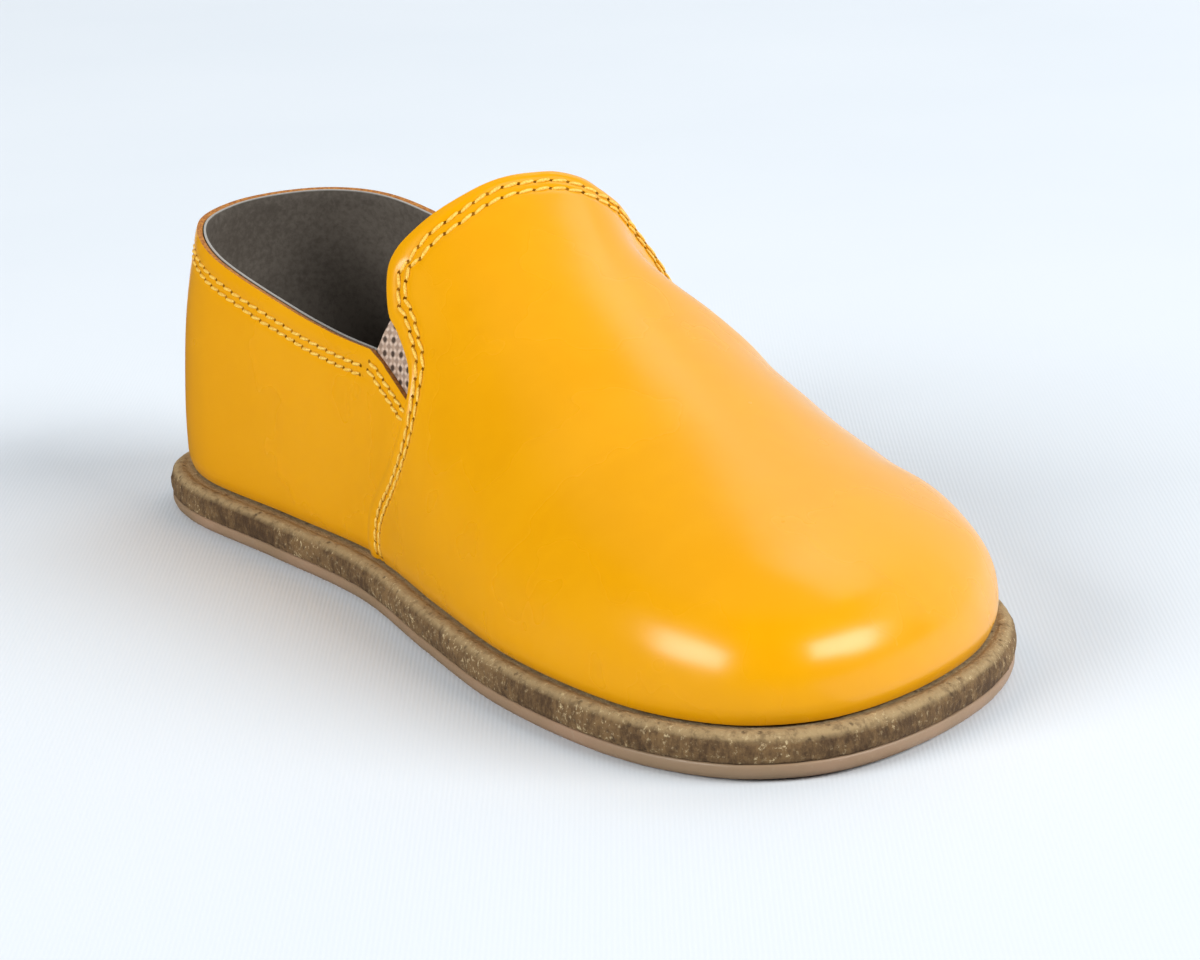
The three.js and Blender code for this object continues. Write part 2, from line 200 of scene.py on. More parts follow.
@dataclass(frozen=True)
class Last:
    """Form of the foot that the shoe is built on, from the same sizes as the solids."""

    length: float = 178.0
    ball_width: float = 73.8
    instep: float = 60.0
    heel: float = 47.0
    base: float = 6.6
    ledge: float = 2.4
    side_bulge: float = 1.5
    toe_spring: float = 0.4
    spring_start: float = 0.86
    frame_x: float = 89.0
    frame_y: float = 10.1475
    crest_rise: float = 0.999
    # along the foot, then the half widths on the inner and the outer side
    sole_rows: Rows = (
        (0.0, 0.0, 0.0), (0.0145, -0.175, 0.157), (0.0615, -0.32, 0.277),
        (0.151, -0.373, 0.343), (0.295, -0.333, 0.409), (0.442, -0.299, 0.511),
        (0.59, -0.33, 0.607), (0.725, -0.351, 0.648), (0.843, -0.324, 0.58),
        (0.922, -0.265, 0.433), (0.978, -0.161, 0.214), (1.0, 0.0, 0.0),
    )
    # foot, spine, ridge, height, inner wall and crown handles, outer wall and crown handles
    sections: Rows = (
        (0.0, 0.211, 0.0, 1.3, 0.62, 0.54, 0.62, 0.54),
        (0.126, 0.261, 0.024, 1.244, 0.62, 0.55, 0.62, 0.53),
        (0.278, 0.346, 0.069, 1.131, 0.64, 0.6, 0.62, 0.57),
        (0.421, 0.426, 0.102, 1.01, 0.66, 0.68, 0.62, 0.68),
        (0.527, 0.527, 0.102, 0.819, 0.62, 0.66, 0.57, 0.56),
        (0.632, 0.628, 0.092, 0.675, 0.58, 0.61, 0.54, 0.47),
        (0.737, 0.718, 0.083, 0.569, 0.6, 0.62, 0.56, 0.47),
        (0.843, 0.792, 0.059, 0.498, 0.62, 0.64, 0.6, 0.52),
        (1.0, 0.855, 0.03, 0.444, 0.63, 0.64, 0.63, 0.64),
    )
    # start and longest step of a search on the last, as place and rise, and the rise's limits
    search_start: Span = (5.0, 0.45)
    search_step: Span = (0.5, 0.2)
    search_rises: Span = (0.01, 0.98)
    search_rounds: int = 25

    @property
    def top_row(self) -> int:
        """Number of the sole's last row, at the toe."""
        return len(self.sole_rows) - 1

    def fold(self, place: Array, side: Array) -> tuple[Array, Array]:
        """Brings places past either end of the sole back along its other side.

        Args:
            place: places along the sole, counted in its rows.
            side: sign of the side, or the arch.

        Returns:
            Places on the sole, and the side or arch there.
        """
        top = self.top_row
        beyond = (place < 0) | (place > top)
        inside = np.where(place < 0, -place, np.where(place > top, 2 * top - place, place))
        return inside, np.where(beyond, -side, side)

    def edge(self, place: Array, side: Array) -> Array:
        """Points of the sole's edge in plan.

        Args:
            place: places counted in sole rows; past either end they run on along the other side.
            side: -1 on the inner side, 1 on the outer side.

        Returns:
            x and y of each point.
        """
        table = np.asarray(self.sole_rows)
        inside, side = self.fold(place, side)
        padded = table[[1, *range(len(table)), -2]]
        widths = padded[:, 1:].T.copy()
        widths[:, [0, -1]] = widths[::-1, [0, -1]]
        row = np.clip(np.floor(inside).astype(int), 0, self.top_row - 1)
        near = row + np.arange(4)[:, None]
        x = curve_value(*padded[near, 0], inside - row) * self.length
        width = widths[np.where(side < 0, 0, 1), near]
        y = curve_value(*width, inside - row) * self.ball_width
        return np.stack([x, y], -1)

    def inset(self, place: Array, side: Array, distance: Array | float) -> Array:
        """Points that lie inside the sole's edge by a level distance.

        Args:
            place: places along the sole, counted in its rows.
            side: -1 on the inner side, 1 on the outer side.
            distance: distance from the edge.

        Returns:
            x and y of each point.
        """
        tangent = unit(self.edge(place + STEP, side) - self.edge(place - STEP, side))
        inward = np.stack([-tangent[:, 1], tangent[:, 0]], -1) * -side[:, None]
        return self.edge(place, side) + inward * np.broadcast_to(distance, place.shape)[:, None]

    def column(self, index: int, foot: Array) -> Array:
        """Smooth value of one column of the sections along the foot.

        Args:
            index: number of the column.
            foot: shares of the foot's length.

        Returns:
            The value at each share.
        """
        table = np.asarray(self.sections)
        along, values = table[:, 0], table[:, index]
        top = len(along) - 1
        low = np.maximum(np.arange(top + 1) - 1, 0)
        high = np.minimum(np.arange(top + 1) + 1, top)
        slopes = (values[high] - values[low]) / (along[high] - along[low])
        row = np.clip(np.searchsorted(along, foot, side="left") - 1, 0, top - 1)
        span = along[row + 1] - along[row]
        share = (foot - along[row]) / span
        rest = 1.0 - share
        start = values[row] * (1 + 2 * share) * rest * rest
        end = values[row + 1] * share * share * (3 - 2 * share)
        return start + end + span * share * rest * (slopes[row] * rest - slopes[row + 1] * share)

    def foot(self, place: Array, side: Array) -> Array:
        """Share of the foot's length at places along the sole."""
        return np.clip(self.edge(place, side)[:, 0] / self.length, 0.0, 1.0)

    def ridge(self, foot: Array) -> Array:
        """Points of the ridge line, where the ribs of both sides meet.

        Args:
            foot: shares of the foot's length.

        Returns:
            x, y and z of each point in millimetres.
        """
        x = self.column(SPINE, foot) * self.length
        y = self.column(RIDGE, foot) * self.ball_width
        return np.stack([x, y, self.column(HEIGHT, foot) * self.instep], -1)

    def ridge_slope(self, foot: Array) -> Array:
        """Rise of the ridge line along the foot."""
        change = self.ridge(foot + STEP) - self.ridge(foot - STEP)
        return change[:, 2] / change[:, 0]

    def toe_lift(self, x: Array) -> Array:
        """Height that the toe is lifted off the floor."""
        start = self.spring_start * self.length
        return self.toe_spring * np.clip((x - start) / (self.length - start), 0.0, None) ** 2

    def surface(self, place: Array, arch: Array) -> Array:
        """Points of the last.

        Args:
            place: places along the sole, counted in its rows.
            arch: -1 on the sole's inner edge, 0 on the ridge, 1 on the sole's outer edge.

        Returns:
            x, y and z of each point in millimetres.
        """
        place, arch = self.fold(place, arch)
        inner = arch <= 0
        side = np.where(inner, -1, 1)
        rise = (1.0 - np.abs(arch))[:, None]
        rest = 1.0 - rise
        foot = self.foot(place, side)
        base = self.inset(place, side, self.ledge)
        ridge = self.ridge(foot)
        outward = base - ridge[:, :2]
        run = np.linalg.norm(outward, axis=1)
        outward /= run[:, None]
        wall = np.where(inner, self.column(INNER_WALL, foot), self.column(OUTER_WALL, foot))
        crown = np.where(inner, self.column(INNER_CROWN, foot), self.column(OUTER_CROWN, foot))
        start = np.column_stack([base, np.full(len(place), self.base)])
        wall = wall * (ridge[:, 2] - self.base)
        lower = start + np.column_stack([outward * self.side_bulge, wall])
        shoulder = np.column_stack([outward, outward[:, 0] * self.ridge_slope(foot)])
        upper = ridge + shoulder * (crown * run)[:, None]
        points = rest**3 * start + 3 * rest**2 * rise * lower
        points += 3 * rest * rise**2 * upper + rise**3 * ridge
        points[:, 2] += self.toe_lift(points[:, 0])
        return points

    def normal(self, place: Array, arch: Array) -> Array:
        """Unit normals of the last, pointing out.

        Args:
            place: places along the sole, counted in its rows.
            arch: arch of each place, as in surface.

        Returns:
            x, y and z of each normal.
        """
        short_of_ridge = 1.0 - 1e-9
        along = self.surface(place + STEP, arch) - self.surface(place - STEP, arch)
        side = np.where(arch > 0, 1.0, -1.0)
        rise = 1.0 - np.abs(arch)
        upper = side * (1.0 - np.minimum(rise + STEP, short_of_ridge))
        lower = side * (1.0 - np.maximum(rise - STEP, 0.0))
        across = self.surface(place, upper) - self.surface(place, lower)
        slope = self.ridge_slope(self.foot(place, side))
        crest = np.column_stack([-slope, np.zeros(len(slope)), np.ones(len(slope))])
        normals = np.cross(along, across) * -side[:, None]
        return unit(np.where((rise > self.crest_rise)[:, None], crest, normals))

    def below(self, place: Array, arch: Array, depth: Array | float) -> Array:
        """Points at a depth under the last's surface."""
        depths = np.broadcast_to(depth, place.shape)[:, None]
        return self.surface(place, arch) - self.normal(place, arch) * depths

    def locate(self, x: Array, z: Array, side: Side) -> tuple[Array, Array]:
        """Finds where the side view's x and z lie on one side of the last.

        Args:
            x: places along the foot.
            z: heights.
            side: side of the foot.

        Returns:
            Place and arch of each point.
        """

        def seen(place: Array, rise: Array) -> Array:
            """Side view of places on the last."""
            return self.surface(place, side.value * (1 - rise))[:, [0, 2]]

        def cross(first: Array, second: Array) -> Array:
            """Cross product in the side view."""
            return first[:, 0] * second[:, 1] - first[:, 1] * second[:, 0]

        place, rise = (np.full(len(x), start) for start in self.search_start)
        far, high = self.search_step
        for _ in range(self.search_rounds):
            here = seen(place, rise)
            by_place = (seen(place + STEP, rise) - here) / STEP
            by_rise = (seen(place, rise + STEP) - here) / STEP
            gap = np.column_stack([x, z]) - here
            scale = cross(by_place, by_rise)
            place += np.clip(cross(gap, by_rise) / scale, -far, far)
            rise += np.clip(cross(by_place, gap) / scale, -high, high)
            rise = np.clip(rise, *self.search_rises)
        return place, side.value * (1 - rise)

    def lengths(self, count: int = 1601) -> tuple[Array, Array]:
        """Lengths along the sole's two edges.

        Args:
            count: places that are measured.

        Returns:
            The places, and the mean length of the edges up to each.
        """
        places = np.linspace(0.0, self.top_row, count)
        edges = [self.edge(places, np.full(count, side.value)) for side in Side]
        return places, 0.5 * sum(run_of(points) for points in edges)

    def face(self, place: Array, arch: Array, depth: Array) -> Array:
        """Points at a depth under the last's surface, in metres."""
        return self.to_frame(self.below(place, arch, depth))

    def to_frame(self, points: Array | Place) -> Array:
        """Millimetres on the last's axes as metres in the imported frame."""
        return (np.asarray(points) - [self.frame_x, self.frame_y, 0.0]) * MM


@dataclass(frozen=True)
class Pattern:
    """Cut lines of the upper in the side view."""

    last: Last
    # along the foot and share of the instep's height, from the sole to the top
    vamp_rows: Rows = (
        (0.44, 0.11), (0.45, 0.233), (0.483, 0.347), (0.501, 0.431), (0.507, 0.516),
        (0.498, 0.593), (0.468, 0.664), (0.449, 0.7), (0.43, 0.785), (0.428, 0.835),
        (0.434, 0.885), (0.441, 0.945), (0.441, 0.98),
    )
    gore_bottom_row: int = 4
    gore_top_row: int = 7
    # along the foot and share of the heel's height, from the heel to the gore
    collar_rows: Rows = (
        (0.0, 1.0), (0.06, 0.98), (0.17, 0.9), (0.28, 0.825), (0.37, 0.785), (0.431, 0.776),
    )
    under_vamp_x: float = 104.0
    under_vamp_drop: float = 6.0
    lean: float = 0.8
    lean_place: float = 5.2
    lean_reach: float = 0.5
    lean_fade: Span = (9.0, 6.5)
    vamp_search: Span = (2.5, 9.0)

    def slanted(self, level: Array, place: Array) -> Array:
        """Lines that climb towards the ridge where the vamp's edge runs along the foot.

        Args:
            level: -1 to 1 across the foot, one value for each line.
            place: places along the sole, counted in its rows.

        Returns:
            Arch of the line at each place.
        """
        size = np.abs(level)
        climb = np.tanh((place - self.lean_place) / self.lean_reach)
        climb = climb * smooth(*self.lean_fade, place)
        return level - np.sign(level) * self.lean * size * (1.0 - size) * climb

    def vamp_line(self) -> Array:
        """Rear edge of the vamp in the side view."""
        return through_rows(self.vamp_rows) * [self.last.length, self.last.instep]

    def collar_line(self) -> Array:
        """Top edge of the quarter in the side view, without its front."""
        return through_rows(self.collar_rows) * [self.last.length, self.last.heel]

    def corner(self, row: int) -> Array:
        """One row of the vamp's edge in millimetres."""
        return np.asarray(self.vamp_rows[row]) * [self.last.length, self.last.instep]

    def quarter_line(self) -> Array:
        """Top edge of the quarter, its edge along the gore and its hidden edge under the vamp.

        Returns:
            x and z of points in the side view.
        """
        bottom = self.corner(self.gore_bottom_row)
        hidden = np.array([self.under_vamp_x, bottom[1] - self.under_vamp_drop])
        return np.vstack([self.collar_line(), bottom, hidden])

    def vamp_places(self, level: Array) -> Array:
        """Places at which the vamp's rear edge crosses the slanted lines.

        Args:
            level: the lines, -1 to 1 across the foot.

        Returns:
            Place of each crossing, counted in sole rows.
        """
        line = self.vamp_line()

        def behind(place: Array) -> Array:
            """True behind the vamp's rear edge."""
            points = self.last.surface(place, self.slanted(level, place))
            return points[:, 0] < np.interp(points[:, 2], line[:, 1], line[:, 0])

        low, high = (np.full(len(level), end) for end in self.vamp_search)
        return halve(low, high, behind)

    def quarter_rises(self, place: Array, side: Side) -> Array:
        """Rises at which the quarter ends on ribs of the last.

        Args:
            place: places along the sole, counted in its rows.
            side: side of the foot.

        Returns:
            0 on the sole to 1 on the ridge, for each rib.
        """
        line = self.quarter_line()

        def under(rise: Array) -> Array:
            """True under the quarter's edge."""
            points = self.last.surface(place, side.value * (1.0 - rise))
            return points[:, 2] < np.interp(points[:, 0], line[:, 0], line[:, 1])

        return halve(np.zeros(len(place)), np.ones(len(place)), under)


class Bench:
    """Modelling steps that several pieces share."""

    @staticmethod
    def clear_selection() -> None:
        """Deselects every object."""
        bpy.ops.object.select_all(action="DESELECT")

    @staticmethod
    def pick(piece: Piece) -> None:
        """Makes one piece the only selected and active object.

        Args:
            piece: the piece.
        """
        Bench.clear_selection()
        piece.select_set(True)
        bpy.context.view_layer.objects.active = piece

    @staticmethod
    @contextmanager
    def editing(piece: Piece) -> Iterator[None]:
        """Edit mode on one piece, with all of it selected.

        Args:
            piece: the piece.

        Yields:
            Nothing; edit mode ends with the block.
        """
        Bench.pick(piece)
        bpy.ops.object.mode_set(mode="EDIT")
        bpy.ops.mesh.select_all(action="SELECT")
        yield
        bpy.ops.object.mode_set(mode="OBJECT")

    @staticmethod
    def places(piece: Piece) -> Array:
        """Vertex places of a piece.

        Args:
            piece: the piece.

        Returns:
            x, y and z of each vertex.
        """
        flat = np.empty(len(piece.data.vertices) * 3)
        piece.data.vertices.foreach_get("co", flat)
        return flat.reshape(-1, 3)

    @staticmethod
    def put(piece: Piece, places: Array) -> None:
        """Moves the vertices of a piece.

        Args:
            piece: the piece.
            places: new x, y and z of each vertex.
        """
        flat = np.ascontiguousarray(places, np.float32).ravel()
        piece.data.vertices.foreach_set("co", flat)
        piece.data.update()

    @staticmethod
    def mark(piece: Piece, name: str, values: Array) -> None:
        """Keeps one number for each vertex as an attribute."""
        attribute = piece.data.attributes.new(name, "FLOAT", "POINT")
        attribute.data.foreach_set("value", np.ascontiguousarray(values, np.float32))

    @staticmethod
    def sheet(name: str, columns: int, rows: int, shape: Shape) -> Piece:
        """Shapes a grid into a curved sheet.

        Args:
            name: name of the new piece.
            columns: divisions along the first coordinate.
            rows: divisions along the second coordinate.
            shape: gives metres in the frame for two coordinates from 0 to 1.

        Returns:
            The sheet.
        """
        Bench.clear_selection()
        bpy.ops.mesh.primitive_grid_add(x_subdivisions=columns, y_subdivisions=rows, size=1.0)
        piece = bpy.context.object
        piece.name = name
        flat = np.clip(Bench.places(piece) + 0.5, 0, 1)
        Bench.put(piece, shape(flat[:, 0], flat[:, 1]))
        return piece

    @staticmethod
    def face_out(piece: Piece) -> None:
        """Turns the faces of closed shapes outward."""
        with Bench.editing(piece):
            bpy.ops.mesh.normals_make_consistent(inside=False)

    @staticmethod
    def face_away(piece: Piece, centre: Array) -> None:
        """Turns a sheet's faces so that they mostly point away from a place.

        Args:
            piece: the sheet.
            centre: the place in metres.
        """
        normals, centres = (np.empty(len(piece.data.polygons) * 3) for _ in range(2))
        piece.data.polygons.foreach_get("normal", normals)
        piece.data.polygons.foreach_get("center", centres)
        if np.sum(normals.reshape(-1, 3) * (centres.reshape(-1, 3) - centre)) < 0:
            with Bench.editing(piece):
                bpy.ops.mesh.flip_normals()

    @staticmethod
    def wall(piece: Piece, thickness: float, rounding: float = 0.0, *finishes: Paint) -> None:
        """Gives a sheet its thickness inwards and rounds its rim.

        Args:
            piece: the sheet.
            thickness: wall in millimetres.
            rounding: radius of the rim's edges in millimetres.
            finishes: the sheet's finish and the rim's, where they differ.
        """
        for finish in finishes:
            piece.data.materials.append(finish)
        Bench.pick(piece)
        solid = piece.modifiers.new("thickness", "SOLIDIFY")
        solid.thickness = thickness * MM
        solid.offset = -1.0
        solid.use_even_offset = True
        solid.material_offset_rim = max(0, len(finishes) - 1)
        bpy.ops.object.modifier_apply(modifier=solid.name)
        if rounding > 0:
            edge = piece.modifiers.new("rounding", "BEVEL")
            edge.width = rounding * MM
            edge.segments = 3
            edge.limit_method = "ANGLE"
            edge.angle_limit = math.radians(55)
            bpy.ops.object.modifier_apply(modifier=edge.name)

    @staticmethod
    def stack(name: str, rings: Sequence[Array]) -> Piece:
        """Closed solid: a disc is extruded ring by ring, and each ring is drawn to its outline.

        Args:
            name: name of the new piece.
            rings: outlines from the bottom to the top face, all with the same count of points.

        Returns:
            The solid.
        """
        count = len(rings[0])
        Bench.clear_selection()
        bpy.ops.mesh.primitive_circle_add(vertices=count, radius=1.0, fill_type="NGON")
        piece = bpy.context.object
        piece.name = name
        with Bench.editing(piece):
            for _ in rings[1:]:
                move = {"value": (0.0, 0.0, 1.0)}
                bpy.ops.mesh.extrude_region_move(TRANSFORM_OT_translate=move)
        drawn = Bench.places(piece)
        turn = np.arctan2(drawn[:, 1], drawn[:, 0]) / (2 * math.pi) * count
        station = np.round(turn).astype(int) % count
        level = np.clip(np.round(drawn[:, 2]).astype(int), 0, len(rings) - 1)
        Bench.put(piece, np.asarray(rings)[level, station])
        Bench.face_out(piece)
        return piece

    @staticmethod
    def copies(name: str, model: Piece, placed: Array) -> Piece:
        """One mesh of many copies of a modelled shape.

        Args:
            name: name of the new piece.
            model: the shape that is repeated; it is removed.
            placed: vertices of each copy, as copy, vertex and axis.

        Returns:
            The joined copies.
        """
        faces = [list(polygon.vertices) for polygon in model.data.polygons]
        starts = range(0, len(placed) * placed.shape[1], placed.shape[1])
        every = [[index + start for index in face] for start in starts for face in faces]
        mesh = bpy.data.meshes.new(name)
        mesh.from_pydata(placed.reshape(-1, 3).tolist(), [], every)
        mesh.update()
        bpy.data.objects.remove(model)
        piece = bpy.data.objects.new(name, mesh)
        bpy.context.scene.collection.objects.link(piece)
        return piece

    @staticmethod
    def hand_over(
        piece: Piece, material: Paint, slot: Slot, *nodes: str, angle: float | None = None
    ) -> None:
        """Dresses a finished piece and joins it to the frame.

        Args:
            piece: the finished piece.
            material: its finish.
            slot: the record's material slot.
            nodes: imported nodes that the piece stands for.
            angle: angle between faces up to which they are shaded smoothly.
        """
        if angle is not None:
            Bench.pick(piece)
            bpy.ops.object.shade_smooth_by_angle(angle=math.radians(angle))
        if not piece.data.materials:
            piece.data.materials.append(material)
        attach(piece, ROOT)
        if nodes:
            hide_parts(*nodes)
        LOG.info("%s: %d faces", piece.name, len(piece.data.polygons))


class Wire:
    """A shader value that Python's operators work on."""

    def __init__(self, tree: bpy.types.NodeTree, socket: bpy.types.NodeSocket) -> None:
        """Wraps one output socket of a node tree."""
        self.tree = tree
        self.socket = socket

    def _math(self, operation: str, first: object, second: object = 0.0) -> "Wire":
        """Adds a Math node for one or two values.

        Args:
            operation: what the node does.
            first: its first value.
            second: its second value.

        Returns:
            The result.
        """
        node = self.tree.nodes.new("ShaderNodeMath")
        node.operation = operation
        for socket, value in zip(node.inputs, (first, second)):
            if isinstance(value, Wire):
                self.tree.links.new(value.socket, socket)
            else:
                socket.default_value = float(value)
        return Wire(self.tree, node.outputs[0])

    def __add__(self, other: object) -> "Wire":
        """Sum."""
        return self._math("ADD", self, other)

    __radd__ = __add__

    def __sub__(self, other: object) -> "Wire":
        """Difference."""
        return self._math("SUBTRACT", self, other)

    def __rsub__(self, other: object) -> "Wire":
        """Difference from a plain number."""
        return self._math("SUBTRACT", other, self)

    def __mul__(self, other: object) -> "Wire":
        """Product."""
        return self._math("MULTIPLY", self, other)

    __rmul__ = __mul__

    def __pow__(self, other: object) -> "Wire":
        """Power."""
        return self._math("POWER", self, other)

    def __rpow__(self, other: object) -> "Wire":
        """Power of a plain number."""
        return self._math("POWER", other, self)

    def most(self, other: object) -> "Wire":
        """The larger of two values."""
        return self._math("MAXIMUM", self, other)

    def fraction(self) -> "Wire":
        """What is left above the next lower whole number."""
        return self._math("FRACT", self)

    def toward(self, other: "Wire", share: float) -> "Wire":
        """Mean of two values, with a share for the second."""
        return self * (1.0 - share) + other * share


@dataclass(frozen=True)
class Noise:
    """A noise by its features in a millimetre, its octaves and their roughness."""

    scale: float
    detail: float = 2.0
    roughness: float = 0.5


class Finish:
    """Node tree of one material."""

    def __init__(self, name: str) -> None:
        """Starts an empty material with one shader and its output.

        Args:
            name: name of the material.
        """
        self.material = bpy.data.materials.new(name)
        self.material.use_nodes = True
        self.tree = self.material.node_tree
        self.tree.nodes.clear()
        self.shader = self.add("ShaderNodeBsdfPrincipled", {})
        self.add("ShaderNodeOutputMaterial", {"Surface": self.shader.outputs[0]})

    def add(
        self, kind: str, sockets: dict[str | int, object], **settings: object
    ) -> bpy.types.Node:
        """Adds any node.

        Args:
            kind: the node's type.
            sockets: values or links of its inputs, by name or number.
            settings: its properties.

        Returns:
            The new node.
        """
        node = self.tree.nodes.new(kind)
        for name, value in settings.items():
            setattr(node, name, value)
        for key, value in sockets.items():
            self.feed(node.inputs[key], value)
        return node

    def wire(
        self, kind: str, output: str | int, sockets: dict[str | int, object], **settings: object
    ) -> Wire:
        """Adds any node and wraps one of its outputs."""
        return Wire(self.tree, self.add(kind, sockets, **settings).outputs[output])

    def feed(self, socket: bpy.types.NodeSocket, value: object) -> None:
        """Sets or links one input socket.

        Args:
            socket: the input.
            value: a number, a vector, a colour, a wrapped value or another node's output.
        """
        if isinstance(value, Wire):
            self.tree.links.new(value.socket, socket)
        elif isinstance(value, bpy.types.NodeSocket):
            self.tree.links.new(value, socket)
        elif isinstance(value, tuple) and socket.type == "RGBA":
            socket.default_value = (*value, 1.0)
        else:
            socket.default_value = value

    def place(self, scale: Place = (1.0, 1.0, 1.0), turn: Place = (0.0, 0.0, 0.0)) -> object:
        """Object coordinates in millimetres, scaled and turned.

        Args:
            scale: scale along each axis.
            turn: turn about each axis in radians.

        Returns:
            Socket of the vector.
        """
        sockets = {
            "Vector": self.add("ShaderNodeTexCoord", {}).outputs["Object"],
            "Scale": tuple(value / MM for value in scale),
            "Rotation": turn,
        }
        return self.add("ShaderNodeMapping", sockets).outputs[0]

    def noise(self, vector: object, noise: Noise) -> Wire:
        """Noise at a vector."""
        sockets = dict(zip(("Scale", "Detail", "Roughness"), astuple(noise)), Vector=vector)
        return self.wire("ShaderNodeTexNoise", "Fac", sockets)

    def cells(self, vector: object, scale: float) -> Wire:
        """Distance to the nearest of scattered points."""
        sockets = {"Vector": vector, "Scale": scale}
        return self.wire("ShaderNodeTexVoronoi", "Distance", sockets, feature="F1")

    def attribute(self, name: str) -> Wire:
        """A piece's own value for each vertex."""
        return self.wire("ShaderNodeAttribute", "Fac", {}, attribute_name=name)

    def span(
        self, value: object, low: float, high: float, start: float = 0.0, end: float = 1.0
    ) -> Wire:
        """Maps a value smoothly from one span to another.

        Args:
            value: the value.
            low: start of its span.
            high: end of its span.
            start: what low becomes.
            end: what high becomes.

        Returns:
            The mapped value.
        """
        names = ("Value", "From Min", "From Max", "To Min", "To Max")
        sockets = dict(zip(names, (value, low, high, start, end)))
        return self.wire("ShaderNodeMapRange", 0, sockets, interpolation_type="SMOOTHSTEP")

    def blend(self, factor: object, first: object, second: object) -> object:
        """Mixes two colours."""
        sockets = {0: factor, 6: first, 7: second}
        return self.add("ShaderNodeMix", sockets, data_type="RGBA").outputs[2]

    def relief(self, height: Wire, depth: float, strength: float, below: object = None) -> object:
        """Bump of a height.

        Args:
            height: the height, from 0 to 1.
            depth: millimetres that a height of 1 stands for.
            strength: strength of the bump.
            below: normal of a relief that it lies on.

        Returns:
            Socket of the normal.
        """
        sockets = {"Height": height, "Distance": depth * MM, "Strength": strength}
        if below is not None:
            sockets["Normal"] = below
        return self.add("ShaderNodeBump", sockets).outputs[0]


@dataclass(frozen=True)
class Surface:
    """A named material; each kind gives its colour, roughness and relief."""

    name: str
    # the shader's other sockets, each with one value all over
    extras: Sockets = ()

    def make(self) -> Paint:
        """Builds the material.

        Returns:
            The material.
        """
        finish = Finish(self.name)
        looks = zip(("Base Color", "Roughness", "Normal"), self.looks(finish))
        for name, value in (*looks, *self.extras):
            finish.feed(finish.shader.inputs[name], value)
        return finish.material

    def looks(self, finish: Finish) -> tuple[object, ...]:
        """Adds the nodes of the surface.

        Args:
            finish: node tree that gets the nodes.

        Returns:
            Colour, roughness and, where it has a relief, the normal.
        """
        raise NotImplementedError


@dataclass(frozen=True, kw_only=True)
class TwoTone(Surface):
    """Two colours and a relief from one noise."""

    shade: Colour
    pale: Colour
    noise: Noise
    span: Span = MIDDLE
    roughness: float = 0.9
    relief: Span | None = None

    def looks(self, finish: Finish) -> tuple[object, ...]:
        """Mottled colour and its relief.

        Args:
            finish: node tree that gets the nodes.

        Returns:
            Colour, roughness and, where it has a relief, the normal.
        """
        noise = finish.noise(finish.place(), self.noise)
        colour = finish.blend(finish.span(noise, *self.span), self.shade, self.pale)
        if self.relief is None:
            return colour, self.roughness
        return colour, self.roughness, finish.relief(noise, *self.relief)


RAW_EDGE = TwoTone(
    "raw_leather_edge",
    shade=(0.24, 0.075, 0.012),
    pale=(0.46, 0.19, 0.03),
    noise=Noise(1.6, 4.0, 0.7),
    roughness=0.85,
    relief=(0.12, 0.7),
)
SEWING_THREAD = TwoTone(
    "golden_thread",
    shade=(0.74, 0.41, 0.03),
    pale=(0.92, 0.62, 0.12),
    noise=Noise(4.0),
    roughness=0.55,
    relief=(0.06, 0.6),
)
# painted shade: near-black discs without reflection stand for the dark insides of the needle holes
NEEDLE_HOLE_SHADE = TwoTone(
    "needle_hole",
    extras=(("Specular IOR Level", 0.0),),
    shade=(0.15, 0.05, 0.003),
    pale=(0.3, 0.115, 0.008),
    noise=Noise(0.6),
    span=(0.4, 0.6),
)


@dataclass(frozen=True)
class Leather(Surface):
    """Smooth coated leather with a fine grain."""

    name: str = "yellow_leather"
    colour: Colour = (0.75, 0.338, 0.0)
    deep: Colour = (0.728, 0.321, 0.0)
    extras: Sockets = (
        ("Specular IOR Level", 0.36),
        ("Specular Tint", (1.0, 0.97, 0.9)),
        ("Coat Weight", 0.06),
        ("Coat Roughness", 0.2),
        ("Sheen Weight", 0.06),
        ("Sheen Roughness", 0.25),
    )
    roughness: Numbers = (0.3, 0.7, 0.24, 0.3)
    cloud: Noise = Noise(0.05, 3.0)
    fine: Noise = Noise(0.3, 1.0)
    fine_share: float = 0.25
    grain: Noise = Noise(1.1, 1.0, 0.4)
    grain_relief: Span = (0.012, 0.12)
    swell: Noise = Noise(0.16, 1.0)
    swell_relief: Span = (0.12, 0.3)

    def looks(self, finish: Finish) -> tuple[object, ...]:
        """Clouded colour and gloss over a fine and a broad relief.

        Args:
            finish: node tree that gets the nodes.

        Returns:
            Colour, roughness and normal.
        """
        place = finish.place()
        cloud = finish.noise(place, self.cloud)
        fine = finish.noise(place, self.fine)
        tone = finish.span(cloud.toward(fine, self.fine_share), *MIDDLE)
        grain = finish.relief(finish.noise(place, self.grain), *self.grain_relief)
        swell = finish.noise(place, self.swell)
        normal = finish.relief(swell, *self.swell_relief, grain)
        colour = finish.blend(tone, self.deep, self.colour)
        return colour, finish.span(cloud, *self.roughness), normal


